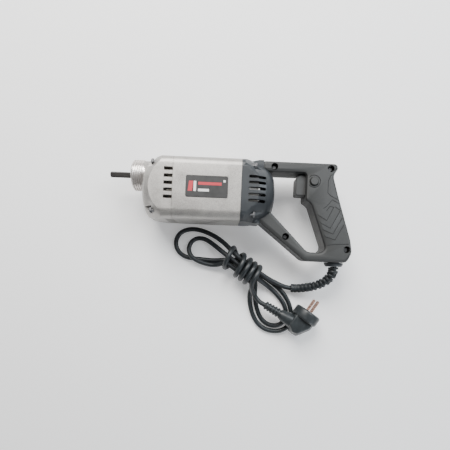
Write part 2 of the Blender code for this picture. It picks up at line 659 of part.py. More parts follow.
def rear_housing():
    body = rear_shape("rear_housing", 0.0, REAR_PLASTIC, True)
    join(body, bar_tongue("bar_tongue"), strut_tongue("strut_tongue"))
    step = SPIGOT_LENGTH + 2 * GAP
    inside = (
        (-0.001, 0.0), (-0.001, SPIGOT_RADIUS + GAP), (step, SPIGOT_RADIUS + GAP), (step, SPIGOT_RADIUS - 0.0030),
        (step + 0.0070, SPIGOT_RADIUS - 0.0040), (REAR_LENGTH - 0.0075, SPIGOT_RADIUS - 0.0110),
        (REAR_LENGTH - REAR_WALL, SPIGOT_RADIUS - 0.0170), (REAR_LENGTH - REAR_WALL, 0.0),
    )
    cavity = turned("rear_cavity", inside, (REAR_SEAM, 0, MID), part=False, steps=32)
    cut(cavity, cylinder("bearing_boss", (REAR_BEARING_FRONT - 0.0005, 0, MID), (REAR_END - 0.001, 0, MID),
                         BEARING_RADIUS + 0.0032, part=False, sides=40))
    cut(
        body, cavity,
        cylinder("rear_bearing_bore", (REAR_BEARING_FRONT - 0.001, 0, MID),
                 (REAR_BEARING_FRONT + BEARING_WIDTH + GAP, 0, MID), BEARING_RADIUS + GAP, part=False, sides=40),
        cylinder("shaft_end_room", (REAR_BEARING_FRONT, 0, MID), (REAR_END - REAR_WALL, 0, MID),
                 JOURNAL_RADIUS + 0.0030, part=False, sides=24),
    )
    notches = []
    for _, side_y, side_z in corners():
        y = sorted((side_y * NOTCH, side_y * (MID + 0.01)))
        z = sorted((MID + side_z * NOTCH, MID + side_z * (MID + 0.01)))
        notches.append(((REAR_POCKET, y[0], z[0]), (REAR_END + 0.01, y[1], z[1])))
    cut(body, blocks("rear_notches", notches), screw_holes("rear_holes", REAR_SEAM - 0.001, REAR_POCKET + 0.001))
    start = REAR_SEAM + 0.0092
    for i in range(VENT_COUNT):
        y = (i - (VENT_COUNT - 1) / 2) * REAR_VENT_PITCH + 0.0005
        for side, label in ((1, "left"), (-1, "right")):
            z = sorted((MID + side * (MID - 0.018), MID + side * (MID + 0.003)))
            cut(body, block(f"rear_vent_{label}_{i + 1}", (start, y - REAR_VENT_HEIGHT / 2, z[0]),
                            (start + REAR_VENT_LENGTH, y + REAR_VENT_HEIGHT / 2, z[1]), part=False,
                            edge=REAR_VENT_HEIGHT * 0.49, along=2, segments=2))
    for x, y in (HANDLE_SCREWS[0], HANDLE_SCREWS[2]):
        cut(body, cylinder("tongue_hole", (x, y, MID - 0.02), (x, y, MID + 0.02),
                           STRUT_SCREW_RADIUS + GAP, part=False, sides=16))


def corner_screw(name, head_x, direction, side_y, side_z, reach):
    """A pan-head screw with its head at head_x, pointing along +X or -X."""
    head = ((-SCREW_HEAD_HEIGHT, 0.0), (-SCREW_HEAD_HEIGHT, SCREW_HEAD_RADIUS * 0.72),
            (-SCREW_HEAD_HEIGHT * 0.6, SCREW_HEAD_RADIUS), (0.0, SCREW_HEAD_RADIUS), (0.0, SCREW_RADIUS),
            (reach, SCREW_RADIUS), (reach, 0.0))
    turned(name, head, (head_x, side_y * SCREW_SPREAD, MID + side_z * SCREW_SPREAD), SCREW_STEEL,
           steps=10, axis=(direction, 0, 0))


def corner_screws():
    for label, side_y, side_z in corners():
        corner_screw("front_screw_" + label, FRONT_POCKET - GAP / 2, 1, side_y, side_z, 0.0265 + 0.0130)
        corner_screw("rear_screw_" + label, REAR_POCKET + GAP / 2, -1, side_y, side_z, 0.0165 + 0.0130)


# Spindle and its gearing
def bearing(name, start, centre_y, outer, inner, width):
    """A deep-groove bearing as one ring, with a groove between its races on each face."""
    middle, half, depth = (outer + inner) / 2, (outer - inner) * 0.18, width * 0.1
    ring = [(0, inner), (0, middle - half), (depth, middle - half), (depth, middle + half), (0, outer - 0.0004),
            (0.0004, outer), (width - 0.0004, outer), (width, outer - 0.0004), (width - depth, middle + half),
            (width - depth, middle - half), (width, middle - half), (width, inner)]
    turned(name, ring, (start, centre_y, MID), STEEL, steps=20, closed=True)


def spindle():
    y = SPINDLE_OFFSET
    across_corners = SHAFT_FLATS / math.sqrt(3) * 2
    hexagon = [(across_corners / 2 * math.cos(math.pi * i / 3 + math.pi / 2),
                across_corners / 2 * math.sin(math.pi * i / 3 + math.pi / 2)) for i in range(6)]
    hex_end = NOSE_TIP - 0.0010
    shaft = flat_solid("drive_shaft", [hexagon], hex_end - SHAFT_TIP, across((SHAFT_TIP + hex_end) / 2, y),
                       BLACKENED, True)
    keep_inside(shaft, cylinder("shaft_chamfer", (SHAFT_TIP, y, MID), (SHAFT_TIP + 0.3, y, MID),
                                across_corners / 2 - 0.0009, end_radius=0.4, part=False, sides=24))
    start = hex_end - 0.0015
    bearing_end = NOSE_TIP + SEAL_WIDTH + BEARING_WIDTH + 0.0010
    gear_seat = JOURNAL_RADIUS + 0.0004
    body = (
        (start, 0.0), (start, JOURNAL_RADIUS - 0.0005), (hex_end + 0.0005, JOURNAL_RADIUS),
        (bearing_end, JOURNAL_RADIUS), (bearing_end, JOURNAL_RADIUS + 0.0015),
        (GEAR_FRONT - GAP, JOURNAL_RADIUS + 0.0015), (GEAR_FRONT - GAP, gear_seat),
        (GEAR_REAR + 0.0005, gear_seat), (GEAR_REAR + 0.0005, REAR_JOURNAL_RADIUS),
        (PLATE_REAR - 0.0006, REAR_JOURNAL_RADIUS), (PLATE_REAR - 0.0006, 0.0),
    )
    join(shaft, turned("spindle_body", body, (0, y, MID), part=False, steps=16))
    facing_gap = -math.pi / 2 + math.pi / GEAR_TEETH
    flat_solid("spindle_gear", [gear_outline(GEAR_TEETH, facing_gap), circle((0, 0), gear_seat + GAP, 24)], GEAR_WIDTH,
               across((GEAR_FRONT + GEAR_REAR) / 2, y), STEEL, True)
    bearing("spindle_bearing", NOSE_TIP + SEAL_WIDTH + 0.0006, y, BEARING_RADIUS, JOURNAL_RADIUS + GAP, BEARING_WIDTH)
    bush = [(0, REAR_JOURNAL_RADIUS + GAP), (0, BUSH_RADIUS), (BEARING_WIDTH - 0.0004, BUSH_RADIUS),
            (BEARING_WIDTH - 0.0004, REAR_JOURNAL_RADIUS + GAP)]
    turned("spindle_bush", bush, (PLATE_FRONT + 0.0002, y, MID), BRASS, steps=20, closed=True)
    seal = [(0, JOURNAL_RADIUS + RUNNING), (0, BEARING_RADIUS), (SEAL_WIDTH, BEARING_RADIUS),
            (SEAL_WIDTH, BEARING_RADIUS - 0.0015), (0.0010, BEARING_RADIUS - 0.0015), (0.0010, JOURNAL_RADIUS + RUNNING)]
    turned("nose_seal", seal, (NOSE_TIP + 0.0003, y, MID), RUBBER, steps=20, closed=True)


def gearcase_plate():
    loops = [circle((0, 0), PLATE_RADIUS, 36), circle((0, 0), BEARING_RADIUS + GAP, 24),
             circle((0, SPINDLE_OFFSET), BUSH_RADIUS + GAP, 20)]
    flat_solid("gearcase_plate", loops, BEARING_WIDTH, across((PLATE_FRONT + PLATE_REAR) / 2), CAST, True)


# Motor
def armature():
    shaft_end = REAR_BEARING_FRONT + BEARING_WIDTH + 0.0005
    pinion_end = PLATE_FRONT - 0.0010
    core_radius = JOURNAL_RADIUS + 0.0010
    body = (
        (pinion_end - 0.0005, 0.0), (pinion_end - 0.0005, JOURNAL_RADIUS), (FAN_FRONT - 0.0012, JOURNAL_RADIUS),
        (FAN_FRONT - 0.0012, core_radius), (REAR_BEARING_FRONT - 0.0010, core_radius),
        (REAR_BEARING_FRONT - 0.0010, JOURNAL_RADIUS), (shaft_end, JOURNAL_RADIUS), (shaft_end, 0.0),
    )
    shaft = turned("armature_shaft", body, (0, 0, MID), STEEL, steps=16)
    pinion_start = GEAR_FRONT - 0.0005
    join(shaft, flat_solid("pinion", [gear_outline(PINION_TEETH, math.pi / 2)], pinion_end - pinion_start,
                           across((pinion_start + pinion_end) / 2), part=False))
    flat_solid("armature_core", [armature_outline(12), circle((0, 0), core_radius + GAP, 20)], STACK_LENGTH,
               across((STACK_FRONT + STACK_REAR) / 2), LAMINATION, True)
    for name, start in (("armature_winding_front", STACK_FRONT - COIL_OVERHANG), ("armature_winding_rear", STACK_REAR + GAP)):
        width = COIL_OVERHANG - GAP
        ring = [(0, core_radius + GAP), (0, STACK_RADIUS - 0.0075), (width * 0.3, STACK_RADIUS - 0.0040),
                (width * 0.7, STACK_RADIUS - 0.0040), (width, STACK_RADIUS - 0.0075), (width, core_radius + GAP)]
        turned(name, ring, (start, 0, MID), COPPER, steps=20, closed=True)
    ring = [(0, core_radius + GAP), (0, COMMUTATOR_RADIUS + 0.0012), (0.0018, COMMUTATOR_RADIUS + 0.0012),
            (0.0018, COMMUTATOR_RADIUS), (COMMUTATOR_LENGTH, COMMUTATOR_RADIUS), (COMMUTATOR_LENGTH, core_radius + GAP)]
    turned("commutator", ring, (COMMUTATOR_FRONT, 0, MID), COPPER, steps=20, closed=True)
    for name, start in (("armature_bearing_front", PLATE_FRONT), ("armature_bearing_rear", REAR_BEARING_FRONT)):
        bearing(name, start, 0, BEARING_RADIUS, JOURNAL_RADIUS + GAP, BEARING_WIDTH)


def armature_outline(slots):
    """The lamination: round, with narrow winding slots."""
    outline = []
    for i in range(slots):
        middle = math.tau * i / slots
        mouth, floor = 0.055, 0.10
        outline += [
            (STACK_RADIUS * math.cos(middle - mouth), STACK_RADIUS * math.sin(middle - mouth)),
            ((STACK_RADIUS - 0.006) * math.cos(middle - floor), (STACK_RADIUS - 0.006) * math.sin(middle - floor)),
            ((STACK_RADIUS - 0.006) * math.cos(middle + floor), (STACK_RADIUS - 0.006) * math.sin(middle + floor)),
            (STACK_RADIUS * math.cos(middle + mouth), STACK_RADIUS * math.sin(middle + mouth)),
        ]
        for share in (0.33, 0.67):
            turn = middle + mouth + share * (math.tau / slots - 2 * mouth)
            outline.append((STACK_RADIUS * math.cos(turn), STACK_RADIUS * math.sin(turn)))
    return outline


def cooling_fan():
    hub_radius = JOURNAL_RADIUS + 0.0010 + GAP
    profile = [(0, hub_radius), (0, 0.0100), (FAN_WIDTH - 0.0015, 0.0115), (FAN_WIDTH - 0.0015, FAN_RADIUS),
               (FAN_WIDTH, FAN_RADIUS), (FAN_WIDTH, hub_radius)]
    fan = turned("cooling_fan", profile, (FAN_FRONT, 0, MID), NYLON, steps=24, closed=True)
    shape = bmesh.new()
    blade_count = 8
    for i in range(blade_count):
        new = bmesh.ops.create_cube(shape, size=1)["verts"]
        bmesh.ops.scale(shape, vec=(FAN_WIDTH - 0.0014, FAN_RADIUS - 0.0120, 0.0014), verts=new)
        place = Matrix.Translation((FAN_FRONT + FAN_WIDTH / 2 - 0.0003, 0, MID)) @ Matrix.Rotation(
            math.tau * i / blade_count, 4, "X") @ Matrix.Translation((0, (FAN_RADIUS + 0.0105) / 2, 0.002))
        bmesh.ops.transform(shape, matrix=place @ Matrix.Rotation(0.25, 4, "X"), verts=new)
    join(fan, from_bmesh("fan_blades", shape, None, False))


def stator():
    pole_half = math.radians(52)
    slot_radius = STACK_RADIUS + 0.0112
    bore = STACK_RADIUS + AIR_GAP
    hole = []
    for pole in (math.pi / 2, -math.pi / 2):
        for k in range(9):
            turn = pole - pole_half + 2 * pole_half * k / 8
            hole.append((bore * math.cos(turn), bore * math.sin(turn)))
        gap_middle = pole + math.pi / 2
        gap_half = math.pi / 2 - pole_half
        for k in range(5):
            turn = gap_middle - gap_half + 2 * gap_half * k / 4
            hole.append((slot_radius * math.cos(turn), slot_radius * math.sin(turn)))
    flat_solid("stator_core", [circle((0, 0), BORE_RADIUS - GAP, 40), hole], STACK_LENGTH,
               across((STACK_FRONT + STACK_REAR) / 2), LAMINATION, True)
    for name, side in (("field_coil_upper", 1), ("field_coil_lower", -1)):
        coil_end = COIL_OVERHANG - GAP
        inner, outer = STACK_RADIUS + 0.0013, STACK_RADIUS + 0.0080
        arch = [(outer, 0.0020), (outer, 0.0110), (0.0200, 0.0265), (-0.0200, 0.0265), (-outer, 0.0110),
                (-outer, 0.0020), (-inner, 0.0020), (-inner, 0.0100), (-0.0150, 0.0185), (0.0150, 0.0185),
                (inner, 0.0100), (inner, 0.0020)]
        arch = [(u, side * v) for u, v in arch]
        first = flat_solid(name, [arch], coil_end, across(STACK_FRONT - GAP - coil_end / 2), COPPER, True)
        second = flat_solid(name + "_rear", [arch], coil_end, across(STACK_REAR + GAP + coil_end / 2), part=False)
        join(first, second)
        for turn_side, label in ((1, "a"), (-1, "b")):
            y = sorted((side * 0.0030, side * 0.0100))
            z = sorted((MID + turn_side * (inner + 0.0004), MID + turn_side * (outer - 0.0004)))
            join(first, block(f"{name}_run_{label}", (STACK_FRONT - 0.003, y[0], z[0]),
                              (STACK_REAR + 0.003, y[1], z[1]), part=False))
    ring = [(0, FAN_RADIUS - 0.0060), (0, BORE_RADIUS - GAP), (0.0015, BORE_RADIUS - GAP), (0.0015, FAN_RADIUS - 0.0060)]
    turned("fan_baffle", ring, (FAN_FRONT + FAN_WIDTH + 0.0012, 0, MID), NYLON, steps=32, closed=True)


def brush_gear():
    brush_width, brush_height = 0.0100, 0.0062
    holder_start = COMMUTATOR_RADIUS + 0.0022
    holder_end = SPIGOT_RADIUS - SPIGOT_WALL - 0.0022
    for label, side in (("upper", 1), ("lower", -1)):
        def box(name, half_x, half_z, near, far, material=None, part=False):
            y = sorted((side * near, side * far))
            return block(name, (BRUSH_X - half_x, y[0], MID - half_z), (BRUSH_X + half_x, y[1], MID + half_z),
                         material, part)
        holder = box("brush_holder_" + label, brush_width / 2 + 0.0018, brush_height / 2 + 0.0018,
                     holder_start, holder_end, BRASS, True)
        cut(holder, box("brush_slot_" + label, brush_width / 2 + GAP, brush_height / 2 + GAP,
                        holder_start - 0.001, holder_end + 0.001))
        brush_back = COMMUTATOR_RADIUS + 0.0100
        box("carbon_brush_" + label, brush_width / 2, brush_height / 2, COMMUTATOR_RADIUS + GAP, brush_back, CARBON, True)
        start, end = side * (brush_back + 0.0006), side * (holder_end - 0.0004)
        coil("brush_spring_" + label, (BRUSH_X, start, MID), (BRUSH_X, end, MID), 0.0022, 0.00035, 3)


def coil(name, start, end, radius, wire, turns):
    """A compression spring of round wire between two points."""
    start, end = Vector(start), Vector(end)
    along = (end - start).normalized()
    side = along.orthogonal().normalized()
    other = along.cross(side)
    start, end = start + along * wire, end - along * wire
    count = turns * 9
    points = []
    for i in range(count + 1):
        turn = math.tau * turns * i / count
        points.append(start.lerp(end, i / count) + (side * math.cos(turn) + other * math.sin(turn)) * radius)
    tube(name, points, [wire] * len(points), STEEL, sides_level=1)


# Handle
def handle_corners():
    """The outline of the handle, clockwise from the front end of its top bar."""
    return (
        (REAR_END - 0.0180, BAR_TOP, 0.0050),
        (HANDLE_BACK - 0.0188, BAR_TOP, 0.0055),
        (HANDLE_BACK - 0.0288, BAR_TOP - 0.0162, 0.0080),
        (HANDLE_BACK - 0.0213, BAR_TOP - 0.0422, 0.0500),
        (HANDLE_BACK - 0.0020, BASE_Y + 0.0300, 0.0300),
        (HANDLE_BACK + 0.0004, BASE_Y + 0.0140, 0.0100),
        (HANDLE_BACK - 0.0062, BASE_Y, 0.0085),
        (REAR_END + 0.0441, BASE_Y, 0.0090),
        (REAR_END - 0.0249, -MID + 0.0065, 0.0050),
        (REAR_END - 0.0140, -MID + 0.0259, 0.0050),
        (REAR_END + 0.0473, BASE_Y + BASE_DEPTH, 0.0100),
        (HANDLE_BACK - 0.0335, BASE_Y + BASE_DEPTH, 0.0090),
        (TRIGGER_WALL + 0.0078, TRIGGER_TOP - TRIGGER_HEIGHT - 0.0110, 0.0060),
        (TRIGGER_WALL, TRIGGER_TOP - TRIGGER_HEIGHT - 0.0070, 0.0048),
        (TRIGGER_WALL, BAR_UNDER, 0.0040),
        (REAR_END - 0.0180, BAR_UNDER, 0.0050),
    )


def handle_shells():
    middle = Matrix.Translation((0, 0, MID))
    outline = handle_corners()
    blank = flat_solid("handle_blank", [rounded(inset(outline, HANDLE_EDGE))], HANDLE_THICKNESS, middle,
                       part=False, edge=HANDLE_EDGE)
    cavity = flat_solid("handle_cavity", [rounded(inset(outline, HANDLE_WALL))], HANDLE_THICKNESS - 2 * HANDLE_WALL,
                        middle, part=False)
    boss_radius = COUNTERBORE_RADIUS
    for i, (x, y) in enumerate(HANDLE_SCREWS):
        cut(cavity, cylinder(f"screw_boss_{i + 1}", (x, y, MID - 0.03), (x, y, MID + 0.03), boss_radius,
                             part=False, sides=20))
    rear = rear_shape("rear_keepout", GAP)
    tongues = (bar_tongue("bar_slot", GAP), strut_tongue("strut_slot", GAP))
    trigger_slot = block(
        "trigger_slot",
        (TRIGGER_WALL - 0.002, TRIGGER_MID_Y - TRIGGER_HEIGHT / 2 - SLIDING, MID - TRIGGER_THICKNESS / 2 - SLIDING),
        (TRIGGER_WALL + HANDLE_WALL + 0.001, TRIGGER_MID_Y + TRIGGER_HEIGHT / 2 + SLIDING,
         MID + TRIGGER_THICKNESS / 2 + SLIDING), part=False)
    gland_hole = cylinder("gland_hole", (GLAND_X, BASE_Y - 0.002, MID), (GLAND_X, BASE_Y + HANDLE_WALL + 0.002, MID),
                          GLAND_NECK_RADIUS + GAP, part=False, sides=32)
    top = MID + HANDLE_THICKNESS / 2
    for label, side in (("left", 1), ("right", -1)):
        shell = copied(blank, "handle_shell_" + label, HANDLE_PLASTIC, True)
        z = sorted((MID + side * GAP / 2, MID - side * HANDLE_THICKNESS))
        other_half = block("other_half_" + label, (REAR_SEAM, BASE_Y - 0.05, z[0]), (HANDLE_BACK + 0.05, BAR_TOP + 0.05, z[1]),
                           part=False)
        cut(shell, other_half, cavity, rear, *tongues, trigger_slot, gland_hole)
        for i, (x, y) in enumerate(HANDLE_SCREWS):
            far = MID + side * (HANDLE_THICKNESS / 2 + 0.001) if side > 0 else MID - HANDLE_THICKNESS / 2 + 0.004
            cut(shell, cylinder(f"handle_hole_{label}_{i + 1}", (x, y, MID), (x, y, far),
                                STRUT_SCREW_RADIUS + GAP, part=False, sides=16))
            if side > 0:
                cut(shell, cylinder(f"counterbore_{i + 1}", (x, y, top - COUNTERBORE_DEPTH), (x, y, top + 0.001),
                                    COUNTERBORE_RADIUS, part=False, sides=24))
        if side > 0:
            cut(shell, cylinder("button_hole", (BUTTON_X, BUTTON_Y, MID + 0.01), (BUTTON_X, BUTTON_Y, top + 0.001),
                                BUTTON_RADIUS + SLIDING, part=False, sides=32))
    floor = top - COUNTERBORE_DEPTH + GAP / 2
    for i, (x, y) in enumerate(HANDLE_SCREWS):
        head = COUNTERBORE_RADIUS - 0.0010
        profile = ((0.0026, 0.0), (0.0026, head * 0.7), (0.0014, head), (0.0, head), (0.0, STRUT_SCREW_RADIUS),
                   (-(floor - MID) - HANDLE_THICKNESS / 2 + 0.0045, STRUT_SCREW_RADIUS),
                   (-(floor - MID) - HANDLE_THICKNESS / 2 + 0.0045, 0.0))
        turned(f"handle_screw_{i + 1}", profile, (x, y, floor), SCREW_STEEL, steps=10, axis=(0, 0, 1))


def trigger_group():
    front = TRIGGER_WALL - TRIGGER_PROUD
    low, high = TRIGGER_TOP - TRIGGER_HEIGHT, TRIGGER_TOP
    back = TRIGGER_WALL + HANDLE_WALL + 0.0040
    outline = [
        (front, high - 0.0050, 0.0020), (front + 0.0045, high, 0.0020), (back, high, 0.0), (back, low, 0.0),
        (front, low, 0.0025),
    ]
    trigger = flat_solid("trigger", [rounded(inset(outline, 0.0015))], TRIGGER_THICKNESS, Matrix.Translation((0, 0, MID)),
                         HANDLE_PLASTIC, True, edge=0.0015)
    flange = TRIGGER_WALL + HANDLE_WALL + GAP
    join(trigger, block("trigger_flange", (flange, low - 0.0012, MID - TRIGGER_THICKNESS / 2 - 0.0007),
                        (flange + 0.0030, high - 0.0010, MID + TRIGGER_THICKNESS / 2 + 0.0007), part=False))
    switch_front = back + TRIGGER_TRAVEL + 0.0025
    block("switch_body", (switch_front, TRIGGER_MID_Y - 0.0170, MID - 0.0110),
          (switch_front + 0.0170, TRIGGER_MID_Y + 0.0085, MID + 0.0110), REAR_PLASTIC, edge=0.0008, segments=1)
    coil("trigger_spring", (back + GAP, TRIGGER_MID_Y, MID), (switch_front - GAP, TRIGGER_MID_Y, MID), 0.0032, 0.0004, 4)
    inner = MID + HANDLE_THICKNESS / 2 - HANDLE_WALL - SLIDING
    top = MID + HANDLE_THICKNESS / 2 + BUTTON_PROUD
    profile = ((inner - 0.0010, 0.0), (inner - 0.0010, BUTTON_RADIUS + 0.0006), (inner, BUTTON_RADIUS + 0.0006),
               (inner, BUTTON_RADIUS), (top - 0.0010, BUTTON_RADIUS), (top, BUTTON_RADIUS - 0.0010), (top, 0.0))
    turned("lock_button", profile, (BUTTON_X, BUTTON_Y, 0), HANDLE_PLASTIC, steps=20, axis=(0, 0, 1))
    centre_x, centre_y = GLAND_X - 0.0140, BASE_Y + 0.0520
    block("capacitor", (centre_x - 0.0075, centre_y, MID - 0.0080), (centre_x + 0.0075, centre_y + 0.0150, MID + 0.0080),
          LABEL, edge=0.0006, segments=1)


def cord_entry():
    neck = HANDLE_WALL + 0.0045
    profile = ((-neck, 0.0), (-neck, GLAND_NECK_RADIUS), (GAP, GLAND_NECK_RADIUS), (GAP, GLAND_RADIUS - 0.0006),
               (GAP + 0.0008, GLAND_RADIUS), (GLAND_COLLAR - 0.0022, GLAND_RADIUS - 0.0006),
               (GLAND_COLLAR, GLAND_RADIUS - 0.0024), (GLAND_COLLAR, 0.0))
    turned("cable_gland", profile, (GLAND_X, BASE_Y, MID), REAR_PLASTIC, steps=24, axis=(0, -1, 0))
    low = BASE_Y + neck + GAP
    block("cord_clamp", (GLAND_X - 0.0090, low, MID - HANDLE_THICKNESS / 2 + HANDLE_WALL + GAP),
          (GLAND_X + 0.0055, low + 0.0055, MID + HANDLE_THICKNESS / 2 - HANDLE_WALL - GAP), NYLON, edge=0.0008, segments=1)
    points = smooth_route(PROTECTOR_ROUTE, 17)
    radii = [PROTECTOR_ROOT_RADIUS + (PROTECTOR_TIP_RADIUS - PROTECTOR_ROOT_RADIUS) * i / 16 for i in range(17)]
    tube("bend_protector", points, radii, RUBBER, sides_level=3)


# Cord and plug
def free_cord():
    lead = smooth_route(LEAD_ROUTE, 5)
    tube("power_cord", lead, [CORD_RADIUS] * len(lead), RUBBER)
    tail = smooth_route(TAIL_ROUTE, 5)
    tube("power_cord_tail", tail, [CORD_RADIUS] * len(tail), RUBBER)
    for name, outline in (("cord_loops_left", LEFT_LOOPS), ("cord_loops_right", RIGHT_LOOPS)):
        flat_solid(name, [rounded(outline, math.radians(26))], LOOPS_HEIGHT - GAP,
                   Matrix.Translation((0, 0, (LOOPS_HEIGHT + GAP) / 2)), RUBBER, True)
    cylinder("cord_winding", WINDING_START, WINDING_END, WINDING_RADIUS, RUBBER, sides=32)


def plug():
    ahead = Vector((math.cos(PLUG_TURN), math.sin(PLUG_TURN), 0))
    arm = Vector((math.cos(ARM_TURN), math.sin(ARM_TURN), 0))
    disc = ((0, 0.0), (0, PLUG_RADIUS - 0.001), (-0.001, PLUG_RADIUS), (-PLUG_DISC, PLUG_RADIUS), (-PLUG_DISC, 0.0))
    body = turned("plug_body", disc, PLUG_FACE, RUBBER, steps=28, axis=ahead)
    start = -PLUG_DISC + 0.002
    back = [(start, -PLUG_BACK - 0.0020, 0.0030), (start, PLUG_BACK, 0.0030), (-PLUG_DEPTH + 0.0080, PLUG_BACK, 0.0050),
            (-PLUG_DEPTH, 0.0050, 0.0060), (-PLUG_DEPTH, -0.0060, 0.0060),
            (-PLUG_DISC - 0.0070, -PLUG_BACK - 0.0020, 0.0050)]
    place = Matrix.Translation(PLUG_FACE) @ Matrix.Rotation(PLUG_TURN, 4, "Z")
    join(body, flat_solid("plug_back", [rounded(back)], 0.0240, place, part=False, edge=0.0025))
    root = PLUG_FACE - ahead * 0.0250
    relief = ((0.0100, 0.0), (0.0100, 0.0100), (0.0260, 0.0080), (0.0300, 0.0066), (PLUG_ARM, 0.0056),
              (PLUG_ARM, 0.0))
    join(body, turned("plug_relief", relief, root, part=False, steps=16, axis=arm))
    for label, side in (("upper", 1), ("lower", -1)):
        at = PLUG_FACE + Vector((0, 0, side * PIN_SPREAD / 2))
        pin = ((GAP, 0.0), (GAP, PIN_RADIUS), (PIN_LENGTH - 0.0015, PIN_RADIUS), (PIN_LENGTH, PIN_RADIUS - 0.0011),
               (PIN_LENGTH, 0.0))
        turned("plug_pin_" + label, pin, at, PIN_METAL, steps=12, axis=ahead)


front_housing()
motor_housing()
rear_housing()
corner_screws()
gearcase_plate()
spindle()
armature()
cooling_fan()
stator()
brush_gear()
handle_shells()
trigger_group()
cord_entry()
free_cord()
plug()
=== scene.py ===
"""The looks of a hand-held drive unit for a concrete vibrator, lying on its side beside its wound cord."""
import math

import bmesh
import bpy
from mathutils import Matrix, Vector


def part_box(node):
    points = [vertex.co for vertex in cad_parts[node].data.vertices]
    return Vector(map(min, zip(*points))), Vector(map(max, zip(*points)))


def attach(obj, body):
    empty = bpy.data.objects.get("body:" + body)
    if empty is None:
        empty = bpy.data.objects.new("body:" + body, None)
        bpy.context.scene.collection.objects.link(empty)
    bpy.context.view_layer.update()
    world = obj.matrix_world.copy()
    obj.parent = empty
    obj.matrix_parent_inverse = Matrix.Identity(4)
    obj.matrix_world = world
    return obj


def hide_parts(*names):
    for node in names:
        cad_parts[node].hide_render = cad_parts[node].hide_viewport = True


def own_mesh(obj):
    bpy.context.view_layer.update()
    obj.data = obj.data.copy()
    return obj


bl_info = {
    "name": "Concrete vibrator drive unit",
    "version": (1, 0, 0),
    "blender": (4, 5, 0),
    "location": "View3D > Sidebar > Vibrator",
    "description": "Dresses the drive unit's frame with its casings, handle, cord, plug and stage",
    "category": "Object",
}

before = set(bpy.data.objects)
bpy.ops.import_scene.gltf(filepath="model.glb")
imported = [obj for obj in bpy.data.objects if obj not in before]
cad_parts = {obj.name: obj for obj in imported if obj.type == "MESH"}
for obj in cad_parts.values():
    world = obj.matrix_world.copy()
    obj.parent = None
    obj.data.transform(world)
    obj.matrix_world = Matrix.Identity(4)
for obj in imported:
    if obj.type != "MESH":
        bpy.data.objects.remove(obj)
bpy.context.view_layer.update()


# Sizes and colours that a user would change
class CordSizes(bpy.types.PropertyGroup):
    diameter: bpy.props.FloatProperty(
        name="Cord diameter", description="Outside diameter of the mains cord",
        default=0.007, unit="LENGTH")
    wrap_radius: bpy.props.FloatProperty(
        name="Wrap radius", description="Radius of the wraps around the hank, at the cord's middle",
        default=0.0172, unit="LENGTH")
    colour: bpy.props.FloatVectorProperty(
        name="Cord colour", description="Colour of the cord's rubber",
        default=(0.013, 0.016, 0.018), subtype="COLOR", size=3)
    rib_spacing: bpy.props.FloatProperty(
        name="Protector rib spacing", description="Distance between the bend protector's rings",
        default=0.0056, unit="LENGTH")


class PlugSizes(bpy.types.PropertyGroup):
    disc_radius: bpy.props.FloatProperty(
        name="Plug disc radius", description="Radius of the plug's round front",
        default=0.019, unit="LENGTH")
    disc_depth: bpy.props.FloatProperty(
        name="Plug disc depth", description="Depth of the plug's round front",
        default=0.015, unit="LENGTH")
    relief_ribs: bpy.props.IntProperty(
        name="Relief ribs", description="Number of ribs on the plug's strain relief", default=5)
    colour: bpy.props.FloatVectorProperty(
        name="Plug colour", description="Colour of the plug's rubber",
        default=(0.020, 0.024, 0.026), subtype="COLOR", size=3)


class CasingFinish(bpy.types.PropertyGroup):
    cast_colour: bpy.props.FloatVectorProperty(
        name="Cast colour", description="Colour of the sand-cast aluminium casings",
        default=(0.40, 0.385, 0.365), subtype="COLOR", size=3)
    machined_colour: bpy.props.FloatVectorProperty(
        name="Machined colour", description="Colour of the turned aluminium nose",
        default=(0.74, 0.70, 0.67), subtype="COLOR", size=3)
    rear_colour: bpy.props.FloatVectorProperty(
        name="Rear cover colour", description="Colour of the rear cover's plastic",
        default=(0.026, 0.030, 0.034), subtype="COLOR", size=3)
    grain_depth: bpy.props.FloatProperty(
        name="Cast grain", description="Strength of the cast surface's grain", default=0.5)
    smooth_angle: bpy.props.FloatProperty(
        name="Smooth angle", description="Edges flatter than this are shaded smooth",
        default=math.radians(32), subtype="ANGLE")


class HandleFinish(bpy.types.PropertyGroup):
    colour: bpy.props.FloatVectorProperty(
        name="Handle colour", description="Colour of the handle's plastic",
        default=(0.030, 0.031, 0.0305), subtype="COLOR", size=3)
    groove_width: bpy.props.FloatProperty(
        name="Groove width", description="Width of the grooves moulded into the grip",
        default=0.0008, unit="LENGTH")
    label_red: bpy.props.FloatVectorProperty(
        name="Label red", description="Colour of the label's red print",
        default=(0.50, 0.030, 0.045), subtype="COLOR", size=3)
    label_ground: bpy.props.FloatVectorProperty(
        name="Label ground", description="Colour of the label's ground",
        default=(0.026, 0.026, 0.026), subtype="COLOR", size=3)


class StageSettings(bpy.types.PropertyGroup):
    floor_size: bpy.props.FloatProperty(
        name="Floor size", description="Side of the square floor", default=6.0, unit="LENGTH")
    camera_height: bpy.props.FloatProperty(
        name="Camera height", description="Height of the camera above the floor",
        default=0.48, unit="LENGTH")
    lens: bpy.props.FloatProperty(
        name="Lens", description="Focal length of the camera in millimetres", default=25.28)
    key_power: bpy.props.FloatProperty(
        name="Key light", description="Power of the large soft key light in watts", default=36.0)


GROUPS = {
    "cord_sizes": CordSizes,
    "plug_sizes": PlugSizes,
    "casing_finish": CasingFinish,
    "handle_finish": HandleFinish,
    "stage_settings": StageSettings,
}


def settings(name):
    """One of the groups above, by its name."""
    return getattr(bpy.context.scene, name)


